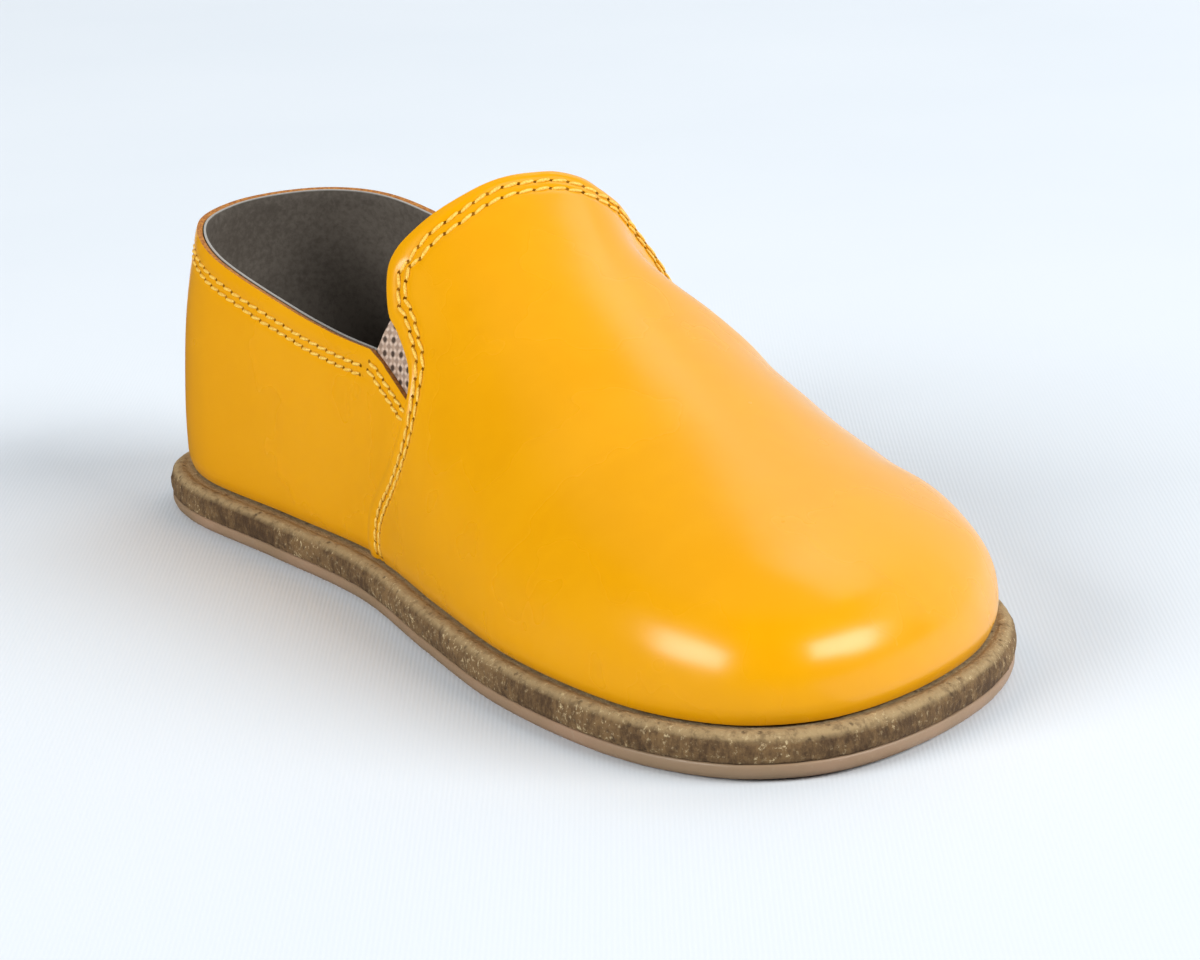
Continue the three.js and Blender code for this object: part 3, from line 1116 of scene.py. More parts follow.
@dataclass(frozen=True)
class LiningLeather(Surface):
    """Matte dark grey lining, with a pale cut edge where the piece marks one."""

    name: str = "grey_lining"
    colour: Colour = (0.075, 0.062, 0.05)
    pale: Colour = (0.125, 0.108, 0.09)
    rim: Colour = (0.32, 0.31, 0.29)
    rim_span: Span = (0.35, 0.8)
    nap: Noise = Noise(1.1, 4.0, 0.65)
    nap_relief: Span = (0.08, 0.6)
    cloud: Noise = Noise(0.07, 2.0)
    cloud_share: float = 0.4
    roughness: float = 0.72

    def looks(self, finish: Finish) -> tuple[object, ...]:
        """Napped surface and the marked rim.

        Args:
            finish: node tree that gets the nodes.

        Returns:
            Colour, roughness and normal.
        """
        place = finish.place()
        nap = finish.noise(place, self.nap)
        tone = nap.toward(finish.noise(place, self.cloud), self.cloud_share)
        colour = finish.blend(finish.span(tone, *MIDDLE), self.colour, self.pale)
        rim = finish.span(finish.attribute("rim"), *self.rim_span)
        colour = finish.blend(rim, colour, self.rim)
        return colour, self.roughness, finish.relief(nap, *self.nap_relief)


@dataclass(frozen=True)
class WovenElastic(Surface):
    """Beige elastic on the piece's own map in millimetres, with painted shade: darker between its
    raised lumps and near black in its holes.
    """

    name: str = "beige_elastic"
    pale: Colour = (0.63, 0.48, 0.38)
    shade: Colour = (0.39, 0.27, 0.20)
    # painted shade: near-black colour of the weave's holes
    dark: Colour = (0.06, 0.035, 0.022)
    pitch: Span = (2.5, 1.95)
    hole_reach: Span = (0.12, 0.3)
    lump_reach: Span = (0.05, 0.5)
    faint: float = 0.3
    fuzz: Noise = Noise(3.2, 3.0, 0.7)
    thread_fuzz: float = 0.6
    thread_span: Span = (0.2, 1.0)
    # shares of the lumps, the holes and the fuzz in the height
    heights: Place = (0.6, 0.8, 0.25)
    height_relief: Span = (0.35, 0.9)
    roughness: float = 0.85

    @staticmethod
    def dots(finish: Finish, across: Wire, along: Wire, shift: float, reach: Span) -> Wire:
        """Round spots on a grid, 1 in their middle and 0 outside."""
        x, y = ((value + (shift + 0.5)).fraction() - 0.5 for value in (across, along))
        return finish.span((x * x + y * y) ** 0.5, *reach, 1.0, 0.0)

    def looks(self, finish: Finish) -> tuple[object, ...]:
        """Weave of lumps and holes, with the shade of its relief painted into the colour.

        Args:
            finish: node tree that gets the nodes.

        Returns:
            Colour, roughness and normal.
        """
        scale = (GORE_MAP / self.pitch[0], GORE_MAP / self.pitch[1], 1.0)
        source = finish.add("ShaderNodeTexCoord", {}).outputs["UV"]
        mapped = finish.add("ShaderNodeMapping", {"Vector": source, "Scale": scale}).outputs[0]
        split = finish.add("ShaderNodeSeparateXYZ", {0: mapped})
        across, along = (Wire(finish.tree, split.outputs[axis]) for axis in range(2))
        # painted shade: the holes, and at a weaker share the faint holes between them, turn near
        # black
        faint = self.dots(finish, across, along, 0.5, self.hole_reach) * self.faint
        hole = self.dots(finish, across, along, 0.0, self.hole_reach).most(faint)
        lump = self.dots(finish, across * 2.0, along * 2.0, 0.5, self.lump_reach)
        fuzz = finish.noise(finish.place(), self.fuzz)
        # painted light and shade: the thread colour is paler on the raised lumps and darker
        # between them, with random fuzz
        tone = finish.span(lump + fuzz * self.thread_fuzz, *self.thread_span)
        thread = finish.blend(tone, self.shade, self.pale)
        height = lump * self.heights[0] - hole * self.heights[1] + fuzz * self.heights[2]
        colour = finish.blend(hole, thread, self.dark)
        return colour, self.roughness, finish.relief(height, *self.height_relief)


@dataclass(frozen=True)
class CutLeather(Surface):
    """Rough edge of a thick leather layer, with pale fibres."""

    name: str = "midsole_leather"
    # darkest tone of the body, also painted as shade in the pits
    dark: Colour = (0.06, 0.029, 0.009)
    brown: Colour = (0.19, 0.11, 0.042)
    pale: Colour = (0.36, 0.255, 0.125)
    fleck: Colour = (0.58, 0.46, 0.26)
    fibre: Noise = Noise(1.1, 5.0, 0.7)
    fibre_stretch: Place = (1.3, 1.3, 0.45)
    cloud: Noise = Noise(0.09, 3.0)
    grit: Noise = Noise(1.5, 5.0, 0.72)
    spots: Noise = Noise(0.7, 4.0, 0.7)
    # shares of the fibre, the cloud and the spots in the tone
    tones: Place = (0.3, 0.4, 0.3)
    tone_span: Span = (0.38, 0.6)
    # span of the spots that gives the top face its paler patches
    pale_top_span: Numbers = (0.3, 0.55, 0.45, 1.0)
    patch_share: float = 0.4
    patch_span: Span = (0.42, 0.58)
    fleck_span: Span = (0.545, 0.64)
    fleck_share: float = 0.85
    # pits: sunk in the relief and darkened with painted shade
    pit_scale: float = 0.55
    pit_span: Numbers = (0.1, 0.3, 1.0, 0.0)
    pit_grit: Span = (0.4, 0.6)
    pit_share: float = 0.7
    # shares of the fibre, the grit, the spots and the pits in the height
    heights: Numbers = (0.3, 0.6, 0.4, 0.4)
    height_relief: Span = (0.4, 0.9)
    roughness: float = 0.9

    def looks(self, finish: Finish) -> tuple[object, ...]:
        """Brown body, paler patches on the top face, flecks in patches, and pits darkened with
        painted shade.

        Args:
            finish: node tree that gets the nodes.

        Returns:
            Colour, roughness and normal.
        """
        place = finish.place()
        fibre = finish.noise(finish.place(self.fibre_stretch), self.fibre)
        cloud, grit, spots = (
            finish.noise(place, noise) for noise in (self.cloud, self.grit, self.spots)
        )
        tone = fibre * self.tones[0] + cloud * self.tones[1] + spots * self.tones[2]
        colour = finish.blend(finish.span(tone, *self.tone_span), self.dark, self.brown)
        # paler in patches on the layer's top face
        pale_top = finish.attribute("pale_top") * finish.span(spots, *self.pale_top_span)
        colour = finish.blend(pale_top, colour, self.pale)
        patches = finish.span(cloud.toward(spots, self.patch_share), *self.patch_span)
        flecks = finish.span(grit, *self.fleck_span) * patches
        colour = finish.blend(flecks * self.fleck_share, colour, self.fleck)
        pits = finish.span(finish.cells(place, self.pit_scale), *self.pit_span)
        pits = pits * finish.span(grit, *self.pit_grit)
        height = fibre * self.heights[0] + grit * self.heights[1]
        height = height + spots * self.heights[2] - pits * self.heights[3]
        # painted shade: the sunk pits are darkened towards the dark colour
        colour = finish.blend(pits * self.pit_share, colour, self.dark)
        return colour, self.roughness, finish.relief(height, *self.height_relief)


@dataclass(frozen=True)
class GumRubber(Surface):
    """Tan gum rubber, a little dusty, with a paler tread."""

    name: str = "gum_rubber"
    tan: Colour = (0.27, 0.18, 0.105)
    pink: Colour = (0.325, 0.205, 0.128)
    dust: Colour = (0.37, 0.30, 0.215)
    tread_tan: Colour = (0.37, 0.235, 0.145)
    tread_pink: Colour = (0.43, 0.26, 0.175)
    # painted highlight: pale glint on the tips of the tread dots
    tip_glint: Colour = (0.6, 0.44, 0.34)
    cloud: Noise = Noise(0.045, 3.0)
    tone_span: Span = (0.38, 0.62)
    grit: Noise = Noise(1.6, 4.0, 0.7)
    grit_relief: Span = (0.05, 0.5)
    dust_cloud: float = 0.3
    dust_span: Numbers = (0.52, 0.7, 0.0, 0.45)
    roughness: Numbers = (0.3, 0.7, 0.42, 0.6)

    def looks(self, finish: Finish) -> tuple[object, ...]:
        """Clouded rubber, its marked tread with a painted glint on the dots' tips, and dust.

        Args:
            finish: node tree that gets the nodes.

        Returns:
            Colour, roughness and normal.
        """
        place = finish.place()
        cloud = finish.noise(place, self.cloud)
        grit = finish.noise(place, self.grit)
        tone = finish.span(cloud, *self.tone_span)
        tread = finish.blend(tone, self.tread_tan, self.tread_pink)
        # painted highlight: the dots' tips turn pale as their glint
        tread = finish.blend(finish.attribute("tip_glint"), tread, self.tip_glint)
        colour = finish.blend(tone, self.tan, self.pink)
        colour = finish.blend(finish.attribute("tread"), colour, tread)
        dusty = finish.span(grit.toward(cloud, self.dust_cloud), *self.dust_span)
        colour = finish.blend(dusty, colour, self.dust)
        return colour, finish.span(grit, *self.roughness), finish.relief(grit, *self.grit_relief)


@dataclass(frozen=True)
class FloorCloth(Surface):
    """White cloth with a fine twill that fades with the distance."""

    name: str = "white_cloth"
    pale: Colour = (0.675, 0.727, 0.785)
    shade: Colour = (0.645, 0.702, 0.764)
    turn: float = -62.0
    reach: float = 230.0
    fade: Span = (0.0, 0.6)
    twill_scale: float = 0.5
    twill_distortion: float = 0.8
    twill_detail: float = 2.0
    twill_relief: Span = (0.12, 0.1)
    cloud: Noise = Noise(0.006, 3.0)
    cloud_share: float = 0.8
    tone_span: Span = (0.2, 0.7)
    roughness: float = 0.95

    def looks(self, finish: Finish) -> tuple[object, ...]:
        """Faded twill and broad clouds.

        Args:
            finish: node tree that gets the nodes.

        Returns:
            Colour, roughness and normal.
        """
        place = finish.place(turn=(0.0, 0.0, math.radians(self.turn)))
        bands = {
            "Vector": place,
            "Scale": self.twill_scale,
            "Distortion": self.twill_distortion,
            "Detail": self.twill_detail,
            "Detail Scale": self.twill_detail,
        }
        wave = finish.wire(
            "ShaderNodeTexWave", "Fac", bands, wave_type="BANDS", bands_direction="X"
        )
        ball = {"Vector": finish.place((1.0 / self.reach,) * 3)}
        near = finish.wire("ShaderNodeTexGradient", "Fac", ball, gradient_type="SPHERICAL")
        twill = (wave - 0.5) * finish.span(near, *self.fade) + 0.5
        tone = twill.toward(finish.noise(place, self.cloud), self.cloud_share)
        colour = finish.blend(finish.span(tone, *self.tone_span), self.shade, self.pale)
        return colour, self.roughness, finish.relief(twill, *self.twill_relief)


@dataclass(frozen=True)
class Layer:
    """Side profile of one layer of the sole and the unevenness of its edge."""

    # inset from the sole's edge and height, from the bottom face to the top face
    profile: Rows
    rough: float
    seed: int
    wavelengths: Numbers = (2.6, 1.4, 5.0)
    squash: Place = (1.0, 1.0, 2.0)
    fade: Span = (2.6, 1.6)
    lift: float = 0.3
    lift_insets: Span = (0.3, 2.0)


@dataclass
class Sole:
    """Gum outsole with its dots, the thick midsole layer and the footbed."""

    last: Last
    stations: int = 720
    dense: int = 6001
    field_height: float = 0.32
    dot_pitch: float = 1.5
    dot_turn: float = 21.0
    dot_radius: float = 0.52
    dot_taper: float = 0.42
    dot_root: float = 0.05
    dot_inset: float = 3.5
    dot_reach: int = 140
    # height under which the dots' tips get their painted glint
    tip_glint_height: float = 0.1
    tread_fade: Span = (0.7, 0.4)
    pale_top_fade: Span = (5.3, 6.0)
    outsole: Layer = Layer(
        (
            (2.7, 0.32), (2.5, 0.16), (2.2, 0.03), (1.9, 0.0), (1.5, 0.04), (1.05, 0.17),
            (0.66, 0.4), (0.38, 0.72), (0.22, 1.1), (0.16, 1.5), (0.16, 1.95), (0.22, 2.2),
            (0.36, 2.29), (0.9, 2.3),
        ),
        rough=0.03,
        seed=11,
    )
    midsole: Layer = Layer(
        (
            (0.75, 2.36), (0.28, 2.4), (0.13, 2.58), (0.06, 3.1), (0.02, 3.75), (0.03, 4.3),
            (0.1, 4.8), (0.24, 5.25), (0.46, 5.65), (0.76, 5.98), (1.12, 6.2), (1.5, 6.3),
            (1.9, 6.3), (2.2, 6.22), (2.45, 6.1), (2.8, 6.05),
        ),
        rough=0.16,
        seed=23,
    )
    footbed: Layer = Layer(
        ((4.9, 6.6), (4.85, 7.4), (4.95, 8.0), (5.25, 8.3), (6.2, 8.42)), rough=0.0, seed=5
    )

    def ring(self) -> tuple[Array, Array]:
        """Even stations from the heel along the inner side and back.

        Returns:
            Place and side of each station.
        """
        round_trip = 2.0 * self.last.top_row

        def sided(run: Array) -> tuple[Array, Array]:
            """Place and side for a run that turns back at the toe."""
            back = run > self.last.top_row
            return np.where(back, round_trip - run, run), np.where(back, 1, -1)

        run = np.linspace(0.0, round_trip, self.dense)
        steps = run_of(self.last.edge(*sided(run)))
        wanted = np.linspace(0.0, steps[-1], self.stations, endpoint=False)
        return sided(np.interp(wanted, steps, run))

    def outline(self, inset: float | Array) -> Array:
        """Ring of the sole's edge at an inset."""
        return self.last.inset(*self.ring(), inset)

    def rings(self, layer: Layer) -> list[Array]:
        """Outlines of a layer.

        Args:
            layer: the layer.

        Returns:
            Points in metres, one ring for each row of its profile.
        """
        made = []
        for inset, height in layer.profile:
            flat = self.outline(inset)
            points = np.column_stack([flat, np.full(len(flat), height)]) * layer.squash
            uneven = layer.rough * waves(points, layer.wavelengths, layer.seed)
            moved = self.outline(inset + uneven * smooth(*layer.fade, inset))
            low, high = layer.lift_insets
            lifted = height + self.last.toe_lift(moved[:, 0])
            lifted = lifted + layer.lift * uneven * (low < inset < high)
            made.append(self.last.to_frame(np.column_stack([moved, lifted])))
        return made

    def build_outsole(self, rubber: Paint) -> None:
        """Rubber sheet with a rounded rim and a sunk field.

        Args:
            rubber: its finish.
        """
        piece = Bench.stack("rubber_sole", self.rings(self.outsole))
        height = Bench.places(piece)[:, 2] / MM
        Bench.mark(piece, "tread", smooth(*self.tread_fade, height))
        Bench.hand_over(piece, rubber, Slot.RUBBER, "outsole", angle=50.0)

    def dot_spots(self) -> Array:
        """Dots of the tread, on an even grid of triangles.

        Returns:
            x and y of each dot.
        """
        turns = math.radians(self.dot_turn) + np.array([0.0, math.pi / 3])
        axes = self.dot_pitch * np.column_stack([np.cos(turns), np.sin(turns)])
        index = np.arange(-self.dot_reach, self.dot_reach + 1)
        grid = np.array([(a, b) for a in index for b in index])
        spots = grid @ axes + [self.last.length / 2, self.last.frame_y]
        return spots[self.inside(spots, self.outline(self.dot_inset))]

    def build_dots(self, rubber: Paint) -> None:
        """Even field of small raised dots under the rubber sheet.

        Args:
            rubber: their finish.
        """
        Bench.clear_selection()
        bpy.ops.mesh.primitive_cone_add(
            vertices=6,
            radius1=self.dot_radius,
            radius2=self.dot_taper * self.dot_radius,
            depth=1.0,
            end_fill_type="NGON",
        )
        dot = bpy.context.object
        shape = Bench.places(dot)
        spots = self.dot_spots()
        root = self.field_height + self.dot_root
        drop = root * (shape[:, 2] + 0.5)
        placed = np.empty((len(spots), len(shape), 3))
        placed[:, :, :2] = spots[:, None] + shape[:, :2]
        placed[:, :, 2] = root + self.last.toe_lift(spots[:, 0])[:, None] - drop
        piece = Bench.copies("tread_dots", dot, self.last.to_frame(placed))
        Bench.face_out(piece)
        height = Bench.places(piece)[:, 2] / MM
        Bench.mark(piece, "tread", np.ones(len(height)))
        # marks the dots' tips for their painted glint
        Bench.mark(piece, "tip_glint", smooth(self.field_height, self.tip_glint_height, height))
        Bench.hand_over(piece, rubber, Slot.RUBBER, angle=30.0)

    @staticmethod
    def inside(points: Array, outline: Array) -> Array:
        """Finds the points inside a closed outline.

        Args:
            points: x and y of each point.
            outline: x and y of the outline's points.

        Returns:
            True for each point inside.
        """
        hair = 1e-12  # keeps a level edge from a division by zero
        within = np.zeros(len(points), bool)
        for (x0, y0), (x1, y1) in zip(outline, np.roll(outline, -1, axis=0)):
            crosses = (y0 > points[:, 1]) != (y1 > points[:, 1])
            reach = x0 + (points[:, 1] - y0) * (x1 - x0) / (y1 - y0 + hair)
            within ^= crosses & (points[:, 0] < reach)
        return within

    def build_midsole(self, leather: Paint) -> None:
        """Leather layer with a rough rounded edge and a crease where the upper stands.

        Args:
            leather: its finish.
        """
        piece = Bench.stack("midsole_edge", self.rings(self.midsole))
        height = Bench.places(piece)[:, 2] / MM
        # marks the layer's top face, which turns paler in patches
        Bench.mark(piece, "pale_top", smooth(*self.pale_top_fade, height))
        Bench.hand_over(piece, leather, Slot.MIDSOLE, "midsole", angle=60.0)

    def build_footbed(self, leather: Paint) -> None:
        """Thin covered board inside the upper.

        Args:
            leather: its finish.
        """
        piece = Bench.stack("footbed", self.rings(self.footbed))
        Bench.mark(piece, "rim", np.zeros(len(piece.data.vertices)))
        Bench.hand_over(piece, leather, Slot.INSOLE, "insole", angle=40.0)


@dataclass(frozen=True)
class Crease:
    """One soft trough or ridge along a line on the last's axes, in millimetres."""

    start: Place
    end: Place
    width: float
    depth: float

    def at(self, points: Array) -> Array:
        """Depth of the crease.

        Args:
            points: places in millimetres.

        Returns:
            Depth that each place sinks by.
        """
        middle = 0.5 * (np.asarray(self.start) + np.asarray(self.end))
        half = np.asarray(self.end) - middle
        along = (points - middle) @ half / (half @ half)
        gap = np.linalg.norm(points - middle - along[:, None] * half, axis=1)
        return self.depth * bump(0.0, self.width, gap) * np.exp(-(along**4))


@dataclass(frozen=True)
class Swell:
    """Gentle unevenness of a panel, which fades towards the sole and its cut edge."""

    height: float
    lengths: Span
    seed: int
    edge: float
    foot: Span = (2.0, 12.0)

    def at(self, points: Array, above: Array, inward: Array) -> Array:
        """Height that each point is raised by."""
        fade = smooth(*self.foot, above) * smooth(0.0, self.edge, inward)
        return self.height * waves(points, self.lengths, self.seed) * fade


@dataclass
class Upper:
    """Vamp, quarter, linings and gores."""

    last: Last
    pattern: Pattern
    # divisions of each panel's grid
    vamp_cells: Cells = (150, 170)
    quarter_cells: Cells = (250, 64)
    vamp_lining_cells: Cells = (70, 90)
    quarter_lining_cells: Cells = (160, 34)
    gore_cells: Cells = (28, 28)
    # lines of the vamp and ribs of the quarter whose ends are searched, and a short share of a rib
    vamp_lines: int = 801
    quarter_ribs: int = 500
    rib_share: float = 0.02
    vamp_thickness: float = 1.0
    vamp_swell: Swell = Swell(0.14, (46.0, 27.0), 4, 0.05)
    vamp_bunching: float = 1.6
    toe_weld: float = 0.002
    quarter_depth: float = 0.75
    quarter_thickness: float = 0.9
    quarter_swell: Swell = Swell(0.15, (38.0, 22.0), 9, 0.15)
    quarter_bunching: float = 1.35
    quarter_relief: float = 0.8
    rounding: float = 0.42
    quarter_rounding: float = 0.22
    lining_depth: float = 1.95
    lining_thickness: float = 0.35
    lining_gap: float = 0.12
    lining_setback: float = 0.35
    lining_ease: Span = (0.02, 0.2)
    lining_toe: float = 0.02
    lining_top: Span = (0.9, 1.0)
    lining_top_rise: float = 0.2
    tuck: float = 0.6
    tuck_height: float = 2.6
    foot_drop: float = 0.2
    # gap between the quarter and the vamp over it, and how the quarter sinks to go there
    under_gap: float = 0.08
    under_reach: Span = (2.6, 0.4)
    under_fade: float = 2.0
    # distance of the vamp's first row, with size, height and width of its bulge and its pinch
    row_edge: float = 2.5
    row_corner: Place = (1.1, 50.0, 2.0)
    row_pinch: Place = (1.15, 32.5, 5.0)
    # size of the rows' shift on the crest, and the heights it starts and ends at
    row_crest: Place = (0.8, 55.5, 58.5)
    row_gaps: Span = (1.3, 1.65)
    row_gap_heights: Span = (42.0, 50.0)
    row_start: float = 0.8
    row_window: int = 4
    collar_row: float = 2.9
    collar_end: float = 1.5
    quarter_gap: float = 1.35
    groove: float = 0.2
    groove_width: float = 0.55
    # height of the edge's roll, with its place and width as shares of the first row's distance
    roll: Place = (0.18, 0.45, 0.4)
    flare: float = 0.35
    flare_width: float = 2.4
    flare_rise: Span = (41.0, 46.0)
    flare_fall: Span = (56.0, 52.0)
    flare_side: Span = (12.0, 20.0)
    # the gore's grid as shares of the notch's height and width, and how it spreads at its foot
    gore_up: Span = (-0.1, 1.0)
    gore_across: Span = (-0.12, 1.22)
    gore_foot: float = 0.15
    gore_spread: float = 12.0
    gore_gaps: Span = (0.06, 0.1)
    gore_ease: Span = (-0.05, 0.85)
    gore_follow: Span = (0.1, 0.85)
    gore_thickness: float = 0.25
    gore_turn: float = 8.0
    gore_cut: Span = (15.9, 13.4)
    gore_area: float = 95.0
    gore_row: float = 1.45
    gore_row_ends: Span = (0.8, 0.2)
    # places inside the shoe that the faces of its panels point away from
    vamp_middle: Place = (95.0, 8.0, 16.0)
    quarter_middle: Place = (60.0, 6.0, 20.0)
    gore_middle: Place = (95.0, 8.0, 20.0)
    # places that the stitch rows of the vamp and the quarter lie towards
    vamp_inward: Place = (150.0, 4.0, 22.0)
    quarter_inward: Place = (40.0, 4.0, 12.0)
    creases: tuple[Crease, ...] = (
        Crease((83.0, 21.0, 50.0), (90.5, 36.0, 33.0), 6.5, 2.5),
        Crease((79.0, 20.0, 55.0), (77.5, 29.0, 44.5), 5.0, 0.6),
        Crease((92.0, 28.0, 39.5), (104.0, 32.0, 33.0), 7.0, -0.45),
        Crease((116.0, 34.0, 29.0), (133.0, 38.0, 21.0), 8.0, 0.5),
        Crease((134.0, 38.5, 22.0), (153.0, 39.0, 12.0), 8.0, -0.7),
        Crease((79.0, 11.0, 59.0), (79.0, 19.0, 57.0), 4.5, -0.35),
    )
    vamp_bvh: BVHTree | None = field(default=None, init=False)
    quarter_bvh: BVHTree | None = field(default=None, init=False)

    def row_distances(self, height: Array) -> tuple[Array, Array]:
        """Distances of the vamp's two stitch rows from its edge.

        Args:
            height: heights along the edge.

        Returns:
            Distances of the first and of the second row.
        """
        corner, corner_height, corner_width = self.row_corner
        pinch, pinch_height, pinch_width = self.row_pinch
        crest, crest_start, crest_end = self.row_crest
        first = self.row_edge + corner * bump(corner_height, corner_width, height)
        first -= pinch * bump(pinch_height, pinch_width, height)
        first -= crest * smooth(crest_start, crest_end, height)
        return first, first + mix(*self.row_gaps, smooth(*self.row_gap_heights, height))

    def vamp_edge(self, count: int = 700) -> Array:
        """Rear edge of the vamp, from the inner to the outer side.

        Args:
            count: points on the edge.

        Returns:
            x, y and z of each point in millimetres.
        """
        level = np.linspace(-1.0, 1.0, count)
        place = self.pattern.vamp_places(level)
        return self.last.surface(place, self.pattern.slanted(level, place))

    @staticmethod
    def nearest(points: Array, line: Array, chunk: int = 4000) -> tuple[Array, Array]:
        """Nearest points of a line.

        Args:
            points: places that are measured from.
            line: points of the line.
            chunk: places that are measured at a time.

        Returns:
            Distance to the nearest point of the line, and its number.
        """
        best, index = [], []
        for first in range(0, len(points), chunk):
            gaps = np.linalg.norm(points[first : first + chunk, None] - line, axis=2)
            best.append(gaps.min(1))
            index.append(gaps.argmin(1))
        return np.concatenate(best), np.concatenate(index)

    def seam_relief(self, points: Array, line: Array, rows: tuple[Array, Array]) -> Array:
        """Depth of the grooves along two stitch rows and the roll of the edge before them.

        Args:
            points: places on the panel.
            line: the panel's edge.
            rows: distances of the rows from each point of the edge.

        Returns:
            Depth at each place.
        """
        gap, index = self.nearest(points, line)
        first, second = (row[index] for row in rows)
        grooves = bump(first, self.groove_width, gap) + bump(second, self.groove_width, gap)
        height, centre, width = self.roll
        return self.groove * grooves - height * bump(first * centre, first * width, gap)

    def hollows(self, points: Array, line: Array) -> Array:
        """Depth of the vamp's creases, less the lip at the outer corner of the tongue.

        Args:
            points: places on the last.
            line: the vamp's rear edge.

        Returns:
            Depth at each place.
        """
        gap, _ = self.nearest(points, line)
        level = smooth(*self.flare_rise, points[:, 2]) * smooth(*self.flare_fall, points[:, 2])
        lip = self.flare * bump(0.0, self.flare_width, gap) * level
        lip = lip * smooth(*self.flare_side, points[:, 1])
        return sum(crease.at(points) for crease in self.creases) - lip

    def under_vamp(self, points: Array, line: Array) -> Array:
        """Share by which the quarter gives way to lie under the vamp.

        Args:
            points: places on the last.
            line: the vamp's rear edge.

        Returns:
            Share at each place.
        """
        gap, index = self.nearest(points, line)
        ahead = np.where(points[:, 0] > line[index, 0], 1.0, smooth(*self.under_reach, gap))
        corner = self.pattern.corner(self.pattern.gore_bottom_row)[1]
        return ahead * smooth(corner + self.under_fade, corner, points[:, 2])

    def tucked(self, points: Array) -> Array:
        """Depth by which the leather is pulled in just above the sole."""
        above = points[:, 2] - self.last.base - self.last.toe_lift(points[:, 0])
        return self.tuck * np.clip(1.0 - above / self.tuck_height, 0.0, 1.0) ** 2

    def vamp_grid(self, u: Array, v: Array, setback: float = 0.0) -> tuple[Array, Array]:
        """Place and arch of the vamp's grid.

        Args:
            u: 0 on the rear edge, 1 at the toe.
            v: 0 on the sole on the inner side, 1 on the sole on the outer side.
            setback: distance that the grid stays in front of the rear edge.

        Returns:
            Place and arch of each point.
        """
        level = 2.0 * v - 1.0
        lines = np.linspace(-1.0, 1.0, self.vamp_lines)
        rear = np.interp(level, lines, self.pattern.vamp_places(lines))
        places, lengths = self.last.lengths()
        start = np.interp(rear, places, lengths) + setback
        place = np.interp(mix(start, lengths[-1], u**self.vamp_bunching), lengths, places)
        return place, self.pattern.slanted(level, place)

    def sunk(self, place: Array, arch: Array, depth: Array, foot: Array) -> Array:
        """Face of a panel, with its foot drawn down to the sole.

        Args:
            place: places along the sole, counted in its rows.
            arch: arch of each place, as in surface.
            depth: depth under the last's surface.
            foot: true where the panel meets the sole.

        Returns:
            Points in metres.
        """
        moved = self.last.below(place, arch, depth)
        moved[:, 2] -= self.foot_drop * foot
        return self.last.to_frame(moved)

    def build_vamp(self, leather: Paint, raw: Paint) -> None:
        """Front panel of the upper.

        Args:
            leather: finish of its faces.
            raw: finish of its cut edges.
        """
        line = self.vamp_edge()
        rows = self.row_distances(line[:, 2])

        def shape(u: Array, v: Array) -> Array:
            """Outer face of the vamp.

            Args:
                u: first coordinate of its grid.
                v: second coordinate of its grid.

            Returns:
                Points in metres.
            """
            place, arch = self.vamp_grid(u, v)
            points = self.last.surface(place, arch)
            depth = self.seam_relief(points, line, rows) + self.tucked(points)
            depth += self.hollows(points, line)
            depth -= self.vamp_swell.at(points, points[:, 2] - self.last.base, u)
            return self.sunk(place, arch, depth, np.abs(arch) > 1.0 - STEP)

        piece = Bench.sheet("vamp", *self.vamp_cells, shape)
        with Bench.editing(piece):
            bpy.ops.mesh.remove_doubles(threshold=self.toe_weld * MM)
        Bench.face_away(piece, self.last.to_frame(self.vamp_middle))
        self.vamp_bvh = BVHTree.FromObject(piece, bpy.context.evaluated_depsgraph_get())
        Bench.wall(piece, self.vamp_thickness, self.rounding, leather, raw)
        Bench.hand_over(piece, leather, Slot.UPPER, "upper", angle=60.0)

    def quarter_grid(self, u: Array, v: Array, setback: float = 0.0) -> tuple[Array, Array]:
        """Place and arch of the quarter's grid.

        Args:
            u: 0 at the hidden inner front end, 0.5 at the heel, 1 at the outer front end.
            v: 0 on the sole, 1 on the top edge.
            setback: distance that the grid stays under the top edge.

        Returns:
            Place and arch of each point.
        """
        places, lengths = self.last.lengths()
        side = np.where(u > 0.5, 1, -1)
        rows = np.asarray(self.last.sole_rows)[:, 0]
        end = np.interp(self.pattern.under_vamp_x / self.last.length, rows, np.arange(len(rows)))
        reach = np.abs(2.0 * u - 1.0) * np.interp(end, places, lengths)
        place = np.interp(reach, lengths, places)
        key = np.linspace(0.0, end, self.quarter_ribs)
        inner, outer = (
            np.interp(place, key, self.pattern.quarter_rises(key, each)) for each in Side
        )
        tops = np.where(side > 0, outer, inner)
        short = self.rib_share * tops
        top = self.last.surface(place, side * (1.0 - tops))
        under = self.last.surface(place, side * (1.0 - (tops - short)))
        speed = np.linalg.norm(top - under, axis=1) / short
        rise = (tops - setback / speed) * (1.0 - (1.0 - v) ** self.quarter_bunching)
        return place, side * (1.0 - rise)

    def gore_edge(self, side: Side, count: int = 240) -> Array:
        """The quarter's edge along one gore.

        Args:
            side: side of the foot.
            count: points on the edge.

        Returns:
            x, y and z of each point in millimetres.
        """
        line = self.pattern.quarter_line()
        start = self.pattern.collar_line()[-1, 0] + self.gore_row_ends[0]
        end = self.pattern.corner(self.pattern.gore_bottom_row)[0] - self.gore_row_ends[1]
        x = np.linspace(start, end, count)
        place, arch = self.last.locate(x, np.interp(x, line[:, 0], line[:, 1]), side)
        return self.last.below(place, arch, self.quarter_depth)

